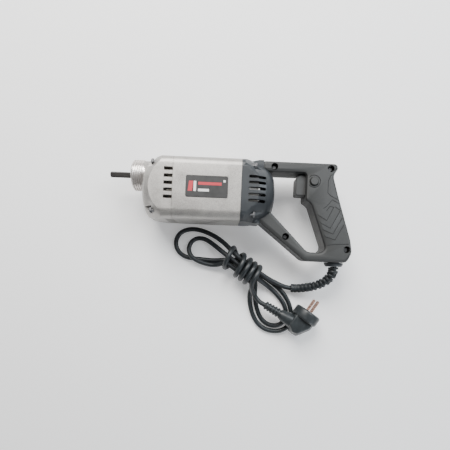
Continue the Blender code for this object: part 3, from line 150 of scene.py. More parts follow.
# The stage
WORLD_STRENGTH = 0.26
FLOOR_GLOW = 0.25
LIGHT_AIM = (0.03, -0.05, 0.03)
FILL_SHARE = 0.30
LOW_SHARE = 0.10
CAMERA_X, CAMERA_Y = 0.0271, -0.0916
CAMERA_TURN = math.radians(2.5)
CAMERA_SHIFT = 0.0778

# The casings, in metres
NOSE_LENGTH = 0.0194
NOSE_RADIUS = 0.0210
THREAD_RIDGES = 5
THREAD_START = 0.0030
THREAD_PITCH = 0.0030
RIDGE_RADIUS = 0.0009
RIDGE_SINK = 0.0007

# The label's bars, in metres from its middle: left, right, lower and upper edge, and how far each one leans
RED_BARS = ((-0.0232, -0.0178, -0.0062, 0.0066, 0.10), (-0.0108, 0.0186, 0.0020, 0.0056, 0.0))
WHITE_BARS = ((-0.0166, -0.0134, -0.0062, 0.0066, 0.0), (-0.0108, 0.0030, -0.0062, -0.0030, 0.0),
              (0.0208, 0.0236, 0.0062, 0.0090, 0.0))

# The grip's moulded lines, in millimetres
GRIP_LINES = (
    ((175.6, 31.5), (163.4, 27.5), (160.4, 20.0), (160.2, 3.9), (164.0, 0.2), (173.0, -4.2)),
    ((155.6, -17.1), (159.6, -14.2), (166.7, -5.3), (175.0, -9.4)),
    ((145.6, -22.3), (148.5, -26.2), (160.4, -33.2), (169.1, -15.1), (163.6, -14.0), (159.8, -20.3)),
    ((150.2, -33.6), (153.8, -37.6), (165.6, -43.2), (178.1, -18.8), (170.8, -14.4)),
    ((152.4, -41.7), (156.4, -45.7), (169.3, -50.8), (181.0, -29.0)),
    ((156.4, -50.4), (159.6, -54.8), (172.4, -58.6), (183.4, -38.3)),
    ((160.5, -66.6), (172.6, -64.4), (191.0, -63.5)),
)
GROOVE_DEPTH = 0.0009
BUTTON_RING_RADIUS = 0.0082
BUTTON_RING_WIDTH = 0.0005


# Shader maths
class Term:
    """A number on a shader's wire, which adds its maths nodes as it is used in sums."""

    def __init__(self, surface, wire):
        self.surface = surface
        self.wire = wire

    def maths(self, operation, first, second=None):
        values = [getattr(v, "wire", v) for v in (first, second) if v is not None]
        node = self.surface.node("ShaderNodeMath", {"operation": operation}, *values)
        return Term(self.surface, node.outputs[0])

    def __add__(self, other):
        return self.maths("ADD", self, other)

    def __radd__(self, other):
        return self.maths("ADD", other, self)

    def __sub__(self, other):
        return self.maths("SUBTRACT", self, other)

    def __rsub__(self, other):
        return self.maths("SUBTRACT", other, self)

    def __mul__(self, other):
        return self.maths("MULTIPLY", self, other)

    def __rmul__(self, other):
        return self.maths("MULTIPLY", other, self)

    def __abs__(self):
        return self.maths("ABSOLUTE", self)

    def most(self, other):
        return self.maths("MAXIMUM", self, other)

    def below(self, limit):
        return self.maths("LESS_THAN", self, limit)


class Surface:
    """One finish: a Principled shader and the nodes that vary it."""

    def __init__(self, name, colour, roughness, metallic=0.0, specular=0.5):
        self.material = bpy.data.materials.new(name)
        self.material.use_nodes = True
        self.tree = self.material.node_tree
        self.shader = self.tree.nodes["Principled BSDF"]
        self.colour = tuple(colour)
        self.shader.inputs["Base Color"].default_value = (*colour, 1)
        self.shader.inputs["Roughness"].default_value = roughness
        self.shader.inputs["Metallic"].default_value = metallic
        self.shader.inputs["Specular IOR Level"].default_value = specular
        self.material.diffuse_color = (*colour, 1)

    def node(self, kind, choices=None, *values, **named):
        """A new node: its choices, then its inputs in order or by name, each a number or a wire."""
        node = self.tree.nodes.new(kind)
        for key, value in (choices or {}).items():
            setattr(node, key, value)
        pairs = list(zip(node.inputs, values)) + [(node.inputs[name], value) for name, value in named.items()]
        for target, value in pairs:
            value = getattr(value, "wire", value)
            if isinstance(value, bpy.types.NodeSocket):
                self.tree.links.new(value, target)
            else:
                target.default_value = value
        return node

    def places(self):
        """Object coordinates, as a wire and as three terms in metres."""
        wire = self.node("ShaderNodeTexCoord").outputs["Object"]
        split = self.node("ShaderNodeSeparateXYZ", None, wire)
        return wire, [Term(self, out) for out in split.outputs]

    def noise(self, wire, size, detail=3.0, roughness=0.5, stretch=(1, 1, 1)):
        """Soft noise whose blotches are about as wide as the size, in metres."""
        mapped = self.node("ShaderNodeMapping", None, wire, Scale=stretch).outputs[0]
        node = self.node("ShaderNodeTexNoise", None, mapped,
                         Scale=1 / size, Detail=detail, Roughness=roughness)
        return Term(self, node.outputs["Fac"])

    def ramp(self, factor, low, high, start, end):
        """From low to high, as the factor goes from start to end."""
        node = self.node("ShaderNodeMapRange", {"clamp": True}, factor, start, end, low, high)
        return Term(self, node.outputs[0])

    def tint(self, factor, first, second):
        """A colour between two, as a wire."""
        node = self.node("ShaderNodeMix", {"data_type": "RGBA"}, factor)
        for target, value in ((node.inputs[6], first), (node.inputs[7], second)):
            if isinstance(value, bpy.types.NodeSocket):
                self.tree.links.new(value, target)
            else:
                target.default_value = (*value, 1)
        return node.outputs[2]

    def put(self, name, value):
        self.tree.links.new(getattr(value, "wire", value), self.shader.inputs[name])

    def bump(self, height, strength, distance):
        node = self.node("ShaderNodeBump", None, Height=height, Strength=strength, Distance=distance)
        self.put("Normal", node.outputs[0])

    def shade(self, factor):
        return tuple(c * factor for c in self.colour)

    def mottle(self, factor, start, end, dark, light):
        """Spreads the base colour between a darker and a lighter shade of itself."""
        share = self.ramp(factor, 0, 1, start, end)
        self.put("Base Color", self.tint(share, self.shade(dark), self.shade(light)))


# Finishes
def cast_aluminium():
    casing = settings("casing_finish")
    surface = Surface("cast_aluminium", casing.cast_colour, 0.42, 0.72)
    wire, _ = surface.places()
    grain = surface.noise(wire, 0.0011, 4, 0.65)
    patches = surface.noise(wire, 0.018, 3)
    fleck = surface.noise(wire, 0.0005, 2)
    mix = grain * 0.55 + patches * 0.25 + fleck * 0.2
    surface.mottle(mix, 0.32, 0.68, 0.55, 1.35)
    surface.put("Roughness", surface.ramp(grain * 0.7 + patches * 0.3, 0.34, 0.54, 0.3, 0.7))
    surface.bump(grain * 0.7 + fleck * 0.3, casing.grain_depth, 0.0005)
    return surface.material


def machined_aluminium():
    surface = Surface("machined_aluminium", settings("casing_finish").machined_colour, 0.3, 0.9)
    wire, _ = surface.places()
    rings = surface.noise(wire, 0.004, 4, 0.6, (12, 0.6, 0.6))
    stain = surface.noise(wire, 0.012, 3)
    surface.mottle(stain, 0.3, 0.7, 0.85, 1.08)
    surface.put("Roughness", surface.ramp(rings, 0.22, 0.42, 0.3, 0.7))
    surface.bump(rings, 0.25, 0.0002)
    return surface.material


def plastic(name, colour, roughness=0.5, grain=0.0006, depth=0.12):
    surface = Surface(name, colour, roughness)
    wire, _ = surface.places()
    texture = surface.noise(wire, grain, 3, 0.6)
    clouds = surface.noise(wire, 0.03, 2)
    surface.mottle(clouds, 0.3, 0.7, 0.9, 1.12)
    wear = clouds * 0.5 + texture * 0.5
    surface.put("Roughness", surface.ramp(wear, roughness - 0.07, roughness + 0.09, 0.35, 0.65))
    surface.bump(texture, depth, 0.0003)
    return surface.material


def rubber(name, colour, roughness=0.42):
    surface = Surface(name, colour, roughness)
    wire, _ = surface.places()
    dust = surface.noise(wire, 0.009, 4, 0.6)
    fine = surface.noise(wire, 0.0012, 2)
    surface.mottle(dust, 0.35, 0.75, 0.9, 1.25)
    surface.put("Roughness", surface.ramp(dust, roughness - 0.06, roughness + 0.10, 0.35, 0.7))
    surface.bump(fine, 0.08, 0.0002)
    return surface.material


def plain_metal(name, colour, roughness, metallic=1.0, brushed=0.0025):
    surface = Surface(name, colour, roughness, metallic)
    wire, _ = surface.places()
    scratches = surface.noise(wire, brushed, 4, 0.6, (0.3, 2, 2))
    surface.put("Roughness", surface.ramp(scratches, roughness * 0.8, roughness * 1.35, 0.3, 0.7))
    surface.mottle(scratches, 0.3, 0.7, 0.86, 1.1)
    return surface.material


def label_print():
    """A dark label with plain red and white bars."""
    colours = settings("handle_finish")
    surface = Surface("label_print", colours.label_ground, 0.42)
    wire, (x, y, _) = surface.places()
    low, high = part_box("label_plate")
    centre_x, centre_y = (low[0] + high[0]) / 2, (low[1] + high[1]) / 2

    def bar(from_x, to_x, from_y, to_y, lean):
        middle_x, middle_y = (from_x + to_x) / 2, (from_y + to_y) / 2
        along = abs(x - centre_x - middle_x - (y - centre_y) * lean)
        across = abs(y - centre_y - middle_y)
        return along.below((to_x - from_x) / 2) * across.below((to_y - from_y) / 2)

    def any_of(bars):
        whole = bar(*bars[0])
        for edges in bars[1:]:
            whole = whole.most(bar(*edges))
        return whole

    red, white = any_of(RED_BARS), any_of(WHITE_BARS)
    grain = surface.noise(wire, 0.006, 3)
    ground = surface.tint(surface.ramp(grain, 0, 1, 0.3, 0.7), surface.shade(0.9), surface.shade(1.15))
    printed = surface.tint(red, ground, tuple(colours.label_red))
    surface.put("Base Color", surface.tint(white, printed, (0.80, 0.80, 0.78)))
    surface.put("Roughness", surface.ramp(grain, 0.36, 0.5, 0.3, 0.7))
    return surface.material


FINISHES = {}


def finish(name):
    """A finish by name, made when it is first asked for."""
    if name not in FINISHES:
        casing, handle = settings("casing_finish"), settings("handle_finish")
        cord_colour = settings("cord_sizes").colour
        makers = {
            "cast": cast_aluminium,
            "machined": machined_aluminium,
            "handle": lambda: plastic("handle_nylon", handle.colour, 0.52, 0.0007, 0.16),
            # The cut faces of the grip's grooves and of the ring round the lock button: the handle's plastic
            # at a third of its colour, as painted shade.
            "groove_shade": lambda: plastic("grip_groove_painted_shade", tuple(c * 0.32 for c in handle.colour), 0.7),
            "rear": lambda: plastic("rear_cover_plastic", casing.rear_colour, 0.40, 0.0006, 0.08),
            "label": label_print,
            "cord": lambda: rubber("cord_rubber", cord_colour, 0.40),
            "protector": lambda: rubber("protector_rubber", tuple(c * 1.15 for c in cord_colour), 0.42),
            "plug": lambda: rubber("plug_rubber", settings("plug_sizes").colour, 0.38),
            "black_steel": lambda: plain_metal("blackened_steel", (0.030, 0.028, 0.027), 0.36, 0.85),
            "steel": lambda: plain_metal("ground_steel", (0.55, 0.55, 0.56), 0.3),
            "screw": lambda: plain_metal("zinc_screw", (0.20, 0.20, 0.205), 0.42),
            "dark_screw": lambda: plain_metal("dark_screw", (0.07, 0.07, 0.072), 0.42, 0.8),
            "copper": lambda: plain_metal("lacquered_copper", (0.50, 0.22, 0.09), 0.36, 0.9, 0.0012),
            "lamination": lambda: plain_metal("lamination_steel", (0.26, 0.26, 0.27), 0.5, 0.9, 0.0006),
            "brass": lambda: plain_metal("brass", (0.66, 0.48, 0.20), 0.3),
            "carbon": lambda: plastic("carbon", (0.02, 0.02, 0.02), 0.6),
            "nylon": lambda: plastic("natural_nylon", (0.60, 0.58, 0.52), 0.45),
            "pin": lambda: plain_metal("plug_pin_plating", (0.80, 0.52, 0.42), 0.24),
        }
        FINISHES[name] = makers[name]()
    return FINISHES[name]


# Shaping helpers
def nothing_selected():
    if bpy.context.object and bpy.context.object.mode != "OBJECT":
        bpy.ops.object.mode_set(mode="OBJECT")
    bpy.ops.object.select_all(action="DESELECT")


def picked(piece):
    nothing_selected()
    bpy.context.view_layer.objects.active = piece
    piece.select_set(True)


def dress(piece, name):
    piece.data.materials.clear()
    piece.data.materials.append(finish(name))


def settle(piece, name, material, angle=None):
    """Names, dresses and seats a piece: its place goes into its mesh, and it rides on the housing."""
    picked(piece)
    bpy.ops.object.transform_apply(location=True, rotation=True, scale=True)
    piece.name = name
    piece.data.name = name
    dress(piece, material)
    if angle is not None:
        bpy.ops.object.shade_smooth_by_angle(angle=angle)
    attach(piece, "housing")


def with_modifier(piece, kind, **choices):
    picked(piece)
    modifier = piece.modifiers.new(kind.title(), kind)
    for key, value in choices.items():
        setattr(modifier, key, value)
    bpy.ops.object.modifier_apply(modifier=modifier.name)


def joined(pieces):
    nothing_selected()
    for piece in pieces:
        piece.select_set(True)
    bpy.context.view_layer.objects.active = pieces[0]
    bpy.ops.object.join()
    return pieces[0]


def smoothed_copy(node, name, material, body="housing"):
    """A copy of a CAD node with its points merged and its curved faces shaded smooth."""
    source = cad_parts[node]
    piece = bpy.data.objects.new(name, source.data.copy())
    bpy.context.scene.collection.objects.link(piece)
    picked(piece)
    bpy.ops.object.mode_set(mode="EDIT")
    bpy.ops.mesh.select_all(action="SELECT")
    bpy.ops.mesh.remove_doubles(threshold=0.00001)
    bpy.ops.mesh.dissolve_limited(angle_limit=math.radians(0.5))
    bpy.ops.object.mode_set(mode="OBJECT")
    dress(piece, material)
    bpy.ops.object.shade_smooth_by_angle(angle=settings("casing_finish").smooth_angle)
    with_modifier(piece, "WEIGHTED_NORMAL", keep_sharp=True)
    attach(piece, body)
    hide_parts(node)
    return piece


# Routes
HANK_START = Vector((0.0299, -0.0852, 0.0204))
HANK_END = Vector((0.0787, -0.1187, 0.0204))
ALONG = (HANK_END - HANK_START).normalized()
ACROSS = Vector((-ALONG.y, ALONG.x, 0))
UP = Vector((0, 0, 1))
STEPS_A_SPAN = 24
STEPS_A_WRAP = 12


def smooth_route(points, spacing, passes):
    """A Catmull-Rom curve through the points, cut to even steps and eased."""
    dense = []
    for i in range(len(points) - 1):
        before = points[i - 1] if i else points[i] * 2 - points[i + 1]
        after = points[i + 2] if i + 2 < len(points) else points[i + 1] * 2 - points[i]
        for step in range(STEPS_A_SPAN):
            t = step / STEPS_A_SPAN
            dense.append(0.5 * (2 * points[i] + (points[i + 1] - before) * t
                                + (2 * before - 5 * points[i] + 4 * points[i + 1] - after) * t * t
                                + (3 * points[i] - before - 3 * points[i + 1] + after) * t * t * t))
    dense.append(points[-1])
    for _ in range(passes):
        lengths = [0.0]
        for a, b in zip(dense, dense[1:]):
            lengths.append(lengths[-1] + (b - a).length)
        count = max(2, round(lengths[-1] / spacing))
        even, k = [], 0
        for i in range(count + 1):
            target = lengths[-1] * i / count
            while k < len(lengths) - 2 and lengths[k + 1] < target:
                k += 1
            share = (target - lengths[k]) / max(1e-9, lengths[k + 1] - lengths[k])
            even.append(dense[k].lerp(dense[k + 1], min(1.0, share)))
        eased = [(a + 2 * b + c) / 4 for a, b, c in zip(even, even[1:], even[2:])]
        dense = even[:1] + eased + even[-1:]
    return dense


def at(x, y, z):
    """A point of the route in millimetres."""
    return Vector((x, y, z)) * 0.001


def inside(s, n, z):
    """A point in the hank, in millimetres along, across and above its middle line."""
    return HANK_START + (ALONG * s + ACROSS * n + UP * z) * 0.001


def wound(s, turn, radius):
    """A point on a wrap: millimetres along the hank, degrees round it with 90 on top, a radius in metres."""
    angle = math.radians(turn)
    return HANK_START + ALONG * s * 0.001 + (ACROSS * math.cos(angle) + UP * math.sin(angle)) * radius


def cord_points():
    """The cord from the bend protector to the plug: five passes through the hank, then the wraps round it."""
    wrap = settings("cord_sizes").wrap_radius
    lead = [
        at(135.0, -128.9, 10.1), at(125.7, -129.1, 9.0), at(120.5, -128.8, 9.3), at(113.0, -126.2, 11.2),
        at(105.0, -122.8, 12.2), at(98.5, -119.7, 13.2), at(92.0, -116.6, 14.8), at(86.1, -113.4, 16.8),
    ]
    first_pass = [inside(50, 8.5, -1.0), inside(30, 8.4, 0.5), inside(12, 8.6, 0.0), inside(2, 9.4, -1.0)]
    outer_left = [
        at(30.5, -71.5, 15.5), at(20.0, -62.8, 10.5), at(6.7, -54.8, 6.0), at(-13.1, -47.8, 3.7),
        at(-30.3, -47.6, 3.6), at(-43.6, -54.4, 3.6), at(-48.6, -66.6, 3.6), at(-45.6, -80.2, 3.6),
        at(-33.4, -89.6, 3.6), at(-20.0, -91.2, 3.6), at(-6.0, -92.0, 3.7), at(8.0, -93.0, 5.4),
        at(20.0, -92.6, 9.2),
    ]
    second_pass = [
        inside(2, -5.2, -8.2), inside(14, -2.0, -9.2), inside(32, -1.5, -9.4), inside(48, -1.8, -9.2),
        inside(57, -4.0, -9.4),
    ]
    inner_right = [
        at(73.4, -132.0, 7.6), at(74.5, -145.0, 3.9), at(77.3, -160.0, 3.6), at(81.8, -173.0, 3.6),
        at(90.0, -183.0, 3.6), at(102.0, -187.8, 3.6), at(114.0, -186.2, 3.6), at(121.2, -178.6, 3.6),
        at(122.8, -167.0, 3.6), at(119.8, -155.6, 3.6), at(112.1, -145.0, 3.7), at(103.0, -135.8, 4.2),
        at(93.4, -128.2, 6.4), at(84.6, -122.0, 12.0),
    ]
    third_pass = [inside(57, 0.3, -3.0), inside(40, 0.0, -1.6), inside(20, 0.0, -1.6), inside(4, 0.2, -2.6)]
    inner_left = [
        at(22.8, -79.6, 14.6), at(15.0, -73.8, 10.0), at(6.0, -67.2, 6.0), at(-5.5, -60.2, 3.8),
        at(-16.5, -59.6, 3.6), at(-25.4, -65.6, 4.2), at(-28.6, -75.5, 7.2), at(-26.6, -86.0, 10.4),
        at(-17.0, -93.4, 10.7), at(-3.7, -98.0, 8.0), at(8.0, -100.2, 7.0), at(19.0, -99.2, 12.0),
    ]
    fourth_pass = [
        inside(2, -9.3, -2.6), inside(16, -8.6, -3.6), inside(36, -8.6, -3.6), inside(50, -9.0, -3.6),
        inside(58, -11.6, -4.8),
    ]
    outer_right = [
        at(66.4, -134.6, 10.6), at(66.0, -147.0, 5.2), at(68.2, -160.0, 3.6), at(72.6, -173.0, 3.6),
        at(79.6, -184.6, 3.6), at(90.4, -192.8, 3.6), at(103.0, -195.6, 3.6), at(117.2, -194.2, 3.6),
        at(127.2, -186.6, 3.6), at(130.9, -174.4, 3.6), at(129.0, -160.6, 3.6), at(123.4, -146.4, 3.6),
        at(113.6, -134.0, 3.7), at(102.6, -124.8, 4.7), at(92.6, -118.4, 7.4), at(84.8, -113.6, 9.9),
    ]
    fifth_pass = [inside(50, 6.4, -7.6), inside(32, 6.2, -7.8), inside(18, 6.6, -8.2)]
    start = [
        wound(9, -42, wrap * 0.74), wound(2.5, -20, wrap * 0.92), wound(0.2, 10, wrap), wound(-0.2, 45, wrap),
    ]
    # Each wrap's place along the hank where it crosses the top, in millimetres. The last is left unfinished.
    tops = (2.0, 24.5, 33.0, 41.5, 50.0, 57.5)
    steps_left_out = 10
    wraps = []
    for top, next_top in zip(tops, tops[1:]):
        for step in range(STEPS_A_WRAP):
            share = step / STEPS_A_WRAP
            wraps.append(wound(top + (next_top - top) * share, 90 + 360 * share, wrap))
    wraps = wraps[:-steps_left_out]
    last_turn = [wound(52.0, 142, wrap * 1.04)]
    tail = [
        at(67.6, -132.2, 24.8), at(70.6, -138.0, 19.8), at(73.4, -143.6, 18.0), at(76.6, -148.2, 18.6),
        at(80.6, -151.4, 20.4), at(85.4, -153.4, 21.6), at(91.0, -155.7, 21.8),
    ]
    return (lead + first_pass + outer_left + second_pass + inner_right + third_pass + inner_left + fourth_pass
            + outer_right + fifth_pass + start + wraps + last_turn + tail)


PROTECTOR_ROUTE = (
    at(177.8, -94.6, 40.5), at(177.8, -100.2, 40.4), at(176.0, -106.6, 38.0), at(170.6, -115.1, 32.5),
    at(158.8, -123.0, 24.0), at(144.0, -127.5, 14.5), at(135.0, -128.9, 10.1), at(126.8, -129.1, 9.0),
)


def route_length(points):
    return sum((b - a).length for a, b in zip(points, points[1:]))


def curve_through(name, points, radius, material):
    """A round, capped curve through the points."""
    curve = bpy.data.curves.new(name, "CURVE")
    curve.dimensions = "3D"
    curve.bevel_depth = radius
    curve.bevel_resolution = 5
    curve.use_fill_caps = True
    spline = curve.splines.new("POLY")
    spline.points.add(len(points) - 1)
    for target, point in zip(spline.points, points):
        target.co = (*point, 1)
    spline.use_smooth = True
    piece = bpy.data.objects.new(name, curve)
    bpy.context.scene.collection.objects.link(piece)
    curve.materials.append(finish(material))
    return piece


def frames_along(points):
    """A forward, sideways and upright direction at each point, without twist."""
    frames = []
    side = None
    for i, point in enumerate(points):
        ahead = (points[min(i + 1, len(points) - 1)] - points[max(i - 1, 0)]).normalized()
        if side is None:
            side = ahead.orthogonal().normalized()
        side = (side - ahead * side.dot(ahead)).normalized()
        frames.append((point, ahead, side, ahead.cross(side)))
    return frames


def tube_mesh(name, points, radii, material, sides=20):
    """A closed tube along the points, with its own radius at each."""
    shape = bmesh.new()
    turns = [math.tau * k / sides for k in range(sides)]
    rings = []
    for (point, _, side, upright), radius in zip(frames_along(points), radii):
        rings.append([shape.verts.new(point + (side * math.cos(turn) + upright * math.sin(turn)) * radius)
                      for turn in turns])
    for ring, following in zip(rings, rings[1:]):
        for k in range(sides):
            shape.faces.new((ring[k], ring[(k + 1) % sides], following[(k + 1) % sides], following[k]))
    shape.faces.new(list(reversed(rings[0])))
    shape.faces.new(rings[-1])
    bmesh.ops.recalc_face_normals(shape, faces=shape.faces)
    mesh = bpy.data.meshes.new(name)
    shape.to_mesh(mesh)
    shape.free()
    piece = bpy.data.objects.new(name, mesh)
    bpy.context.scene.collection.objects.link(piece)
    dress(piece, material)
    picked(piece)
    bpy.ops.object.shade_smooth_by_angle(angle=math.radians(40))
    return piece


# Operators, one for each piece or group of like pieces
class MakeStage(bpy.types.Operator):
    """Adds the pale floor, the soft lights and the camera above the tool"""
    bl_idname = "vibrator.make_stage"
    bl_label = "Stage and camera"

    def execute(self, context):
        stage = settings("stage_settings")
        nothing_selected()
        bpy.ops.mesh.primitive_plane_add(size=stage.floor_size, location=(0, 0, -0.0002))
        floor = context.object
        floor.name = "floor"
        surface = Surface("pale_floor", (0.92, 0.92, 0.92), 0.9, 0.0, 0.2)
        surface.shader.inputs["Emission Color"].default_value = (1, 1, 1, 1)
        surface.shader.inputs["Emission Strength"].default_value = FLOOR_GLOW
        floor.data.materials.append(surface.material)
        world = bpy.data.worlds.new("studio")
        world.use_nodes = True
        background = world.node_tree.nodes["Background"]
        background.inputs["Color"].default_value = (0.97, 0.98, 1.0, 1)
        background.inputs["Strength"].default_value = WORLD_STRENGTH
        context.scene.world = world
        lights = (
            ("key", (-0.25, 0.90, 1.00), 0.8, stage.key_power, (1.0, 0.985, 0.96)),
            ("fill", (0.75, 0.40, 0.90), 0.6, stage.key_power * FILL_SHARE, (0.90, 0.95, 1.0)),
            ("low", (0.65, -0.95, 0.45), 0.5, stage.key_power * LOW_SHARE, (0.86, 0.93, 1.0)),
        )
        for name, place, size, power, colour in lights:
            light = bpy.data.lights.new(name, "AREA")
            light.size, light.energy, light.color = size, power, colour
            lamp = bpy.data.objects.new(name, light)
            lamp.location = place
            aim = Vector(LIGHT_AIM) - Vector(place)
            lamp.rotation_euler = aim.to_track_quat("-Z", "Y").to_euler()
            context.scene.collection.objects.link(lamp)
        camera = bpy.data.objects.new("camera", bpy.data.cameras.new("camera"))
        context.scene.collection.objects.link(camera)
        camera.location = (CAMERA_X, CAMERA_Y, stage.camera_height)
        camera.rotation_euler = (0, 0, CAMERA_TURN)
        camera.data.lens = stage.lens
        camera.data.shift_y = CAMERA_SHIFT
        camera.data.clip_start = 0.01
        context.scene.camera = camera
        return {"FINISHED"}


class MakeCord(bpy.types.Operator):
    """Lays the mains cord: out of the bend protector, through the hank, round it and into the plug"""
    bl_idname = "vibrator.make_cord"
    bl_label = "Mains cord"

    def execute(self, context):
        sizes = settings("cord_sizes")
        points = smooth_route(cord_points(), 0.0030, 8)
        cord = curve_through("mains_cord", points, sizes.diameter / 2, "cord")
        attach(cord, "housing")
        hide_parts("power_cord", "power_cord_tail", "cord_loops_left", "cord_loops_right",
                    "cord_winding")
        route_length(points)
        return {"FINISHED"}


class MakeBendProtector(bpy.types.Operator):
    """Adds the ringed bend protector between the gland and the cord"""
    bl_idname = "vibrator.make_bend_protector"
    bl_label = "Bend protector"

    def execute(self, context):
        core_radius, bar_radius, rounding = 0.0046, 0.0014, 0.0005
        sleeve_start, wide_rings_start = 0.60, 0.62
        route = smooth_route(PROTECTOR_ROUTE, 0.0007, 2)
        frames = frames_along(route)
        count = len(route)
        ring_count = int(route_length(route) / settings("cord_sizes").rib_spacing)

        def outer(share):
            return 0.00715 - 0.0008 * share

        thin = route[::4] + route[-1:]
        pieces = [tube_mesh("protector_core", thin, [core_radius] * len(thin), "protector")]
        for i in range(ring_count + 1):
            middle = min(count - 4, max(3, round(i / ring_count * (count - 1))))
            share = middle / count
            half = 2 if share < wide_rings_start else 3
            span = route[max(0, middle - half):middle + half + 1]
            radius = outer(share)
            radii = [radius] * len(span)
            radii[0] = radii[-1] = radius - rounding
            pieces.append(tube_mesh("protector_ring", span, radii, "protector", 24))
        for k in range(4):
            turn = math.tau * (k + 0.5) / 4
            for i in range(k % 2, ring_count, 2):
                start = round(i / ring_count * (count - 1))
                end = round((i + 1) / ring_count * (count - 1))
                bar = []
                for j in range(start, end + 1):
                    point, _, side, upright = frames[j]
                    outward = side * math.cos(turn) + upright * math.sin(turn)
                    bar.append(point + outward * (outer(j / count) - 0.0016))
                bar = bar[::2] + bar[-1:]
                pieces.append(tube_mesh("protector_bar", bar, [bar_radius] * len(bar), "protector", 8))
        sleeve = range(round(count * sleeve_start), count)
        pieces.append(tube_mesh("protector_sleeve", [route[j] for j in sleeve],
                                [outer(j / count) - rounding for j in sleeve], "protector", 24))
        protector = joined(pieces)
        settle(protector, "bend_protector_ringed", "protector")
        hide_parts("bend_protector")
        return {"FINISHED"}


class MakePlug(bpy.types.Operator):
    """Models the angled earthed plug with its ribbed strain relief, and plates its pins"""
    bl_idname = "vibrator.make_plug"
    bl_label = "Mains plug"

    def execute(self, context):
        sizes = settings("plug_sizes")
        face = Vector((0.1520, -0.1605, 0.0218))
        turn, arm_turn = math.radians(57), math.radians(151.5)
        ahead = Vector((math.cos(turn), math.sin(turn), 0))
        beside = Vector((-ahead.y, ahead.x, 0))
        arm = Vector((math.cos(arm_turn), math.sin(arm_turn), 0))
        nothing_selected()
        middle = face - ahead * sizes.disc_depth / 2
        bpy.ops.mesh.primitive_cylinder_add(vertices=72, radius=sizes.disc_radius, depth=sizes.disc_depth,
                                            location=middle, rotation=(0, math.pi / 2, turn))
        disc = context.object
        with_modifier(disc, "BEVEL", width=0.0030, segments=4, limit_method="ANGLE")
        # The back's two outlines, in millimetres ahead of the face and beside its middle
        under = ((-13, -18.4), (-13, 16.4), (-33.5, 16.4), (-41.4, 5), (-41.4, -6), (-22, -18.4))
        upper = ((-10, -12.0), (-11, 14.8), (-31.5, 14.8), (-37.8, 4.4), (-34.6, -2.4), (-21.0, -11.0))
        shape = bmesh.new()
        rings = []
        for outline, height in ((under, -0.0115), (under, -0.0020), (upper, 0.0118)):
            rings.append([shape.verts.new(face + (ahead * u + beside * v) * 0.001 + UP * height)
                          for u, v in outline])
        for low_ring, high_ring in zip(rings, rings[1:]):
            for i in range(len(under)):
                j = (i + 1) % len(under)
                shape.faces.new((low_ring[i], low_ring[j], high_ring[j], high_ring[i]))
        shape.faces.new(rings[0])
        shape.faces.new(rings[-1])
        bmesh.ops.recalc_face_normals(shape, faces=shape.faces)
        mesh = bpy.data.meshes.new("plug_back")
        shape.to_mesh(mesh)
        shape.free()
        back = bpy.data.objects.new("plug_back", mesh)
        context.scene.collection.objects.link(back)
        with_modifier(back, "BEVEL", width=0.0020, segments=4, limit_method="ANGLE",
                      angle_limit=math.radians(20))
        arm_back = 0.0250
        root = face - ahead * arm_back
        pieces = [disc, back]
        # The strain relief: distances along the arm with the radius there, and then the same for each rib
        neck = [(0.0080, 0.0108), (0.0130, 0.0106), (0.0210, 0.0094), (0.0290, 0.0078), (0.0326, 0.0066),
                (0.0330, 0.0056)]
        start, end = 0.0330, 0.0570
        between, shoulder = 0.0050, 0.0004
        pitch = (end - start) / sizes.relief_ribs
        for i in range(sizes.relief_ribs):
            here = start + i * pitch
            wide = 0.0070 - 0.0002 * i
            for share, radius in ((0.38, between), (0.40, wide - shoulder), (0.50, wide),
                                  (0.88, wide), (0.98, wide - shoulder), (0.995, between)):
                neck.append((here + pitch * share, radius))
        neck.append((end + 0.0004, 0.0046))
        pieces.append(tube_mesh("plug_relief", [root + arm * s for s, _ in neck], [r for _, r in neck],
                                "plug", 32))
        plug = joined(pieces)
        settle(plug, "plug_moulding", "plug", angle=math.radians(38))
        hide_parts("plug_body")
        for node in ("plug_pin_upper", "plug_pin_lower"):
            dress(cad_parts[node], "pin")
        return {"FINISHED"}


class MakeCasings(bpy.types.Operator):
    """Finishes the cast front and motor casings and the plastic rear cover"""
    bl_idname = "vibrator.make_casings"
    bl_label = "Casings"

    def execute(self, context):
        self.dress_nose(smoothed_copy("front_housing", "front_casing", "cast"))
        smoothed_copy("motor_housing", "motor_casing", "cast")
        smoothed_copy("rear_housing", "rear_cover", "rear")
        self.ridge_nose()
        return {"FINISHED"}

    def dress_nose(self, casing):
        """Gives the turned nose its machined finish."""
        casing.data.materials.append(finish("machined"))
        low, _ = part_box("front_housing")
        for face in casing.data.polygons:
            if face.center.x < low[0] + NOSE_LENGTH:
                face.material_index = 1

    def ridge_nose(self):
        """Adds the rounded ridges of the nose's hose thread."""
        low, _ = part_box("front_housing")
        seal_low, seal_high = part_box("nose_seal")
        middle_y, middle_z = (seal_low[1] + seal_high[1]) / 2, (seal_low[2] + seal_high[2]) / 2
        ridges = []
        for i in range(THREAD_RIDGES):
            nothing_selected()
            bpy.ops.mesh.primitive_torus_add(
                major_segments=64, minor_segments=10,
                major_radius=NOSE_RADIUS - RIDGE_SINK, minor_radius=RIDGE_RADIUS,
                rotation=(0, math.pi / 2, 0),
                location=(low[0] + THREAD_START + i * THREAD_PITCH, middle_y, middle_z))
            ridges.append(bpy.context.object)
        settle(joined(ridges), "nose_thread_ridges", "machined", angle=math.radians(40))


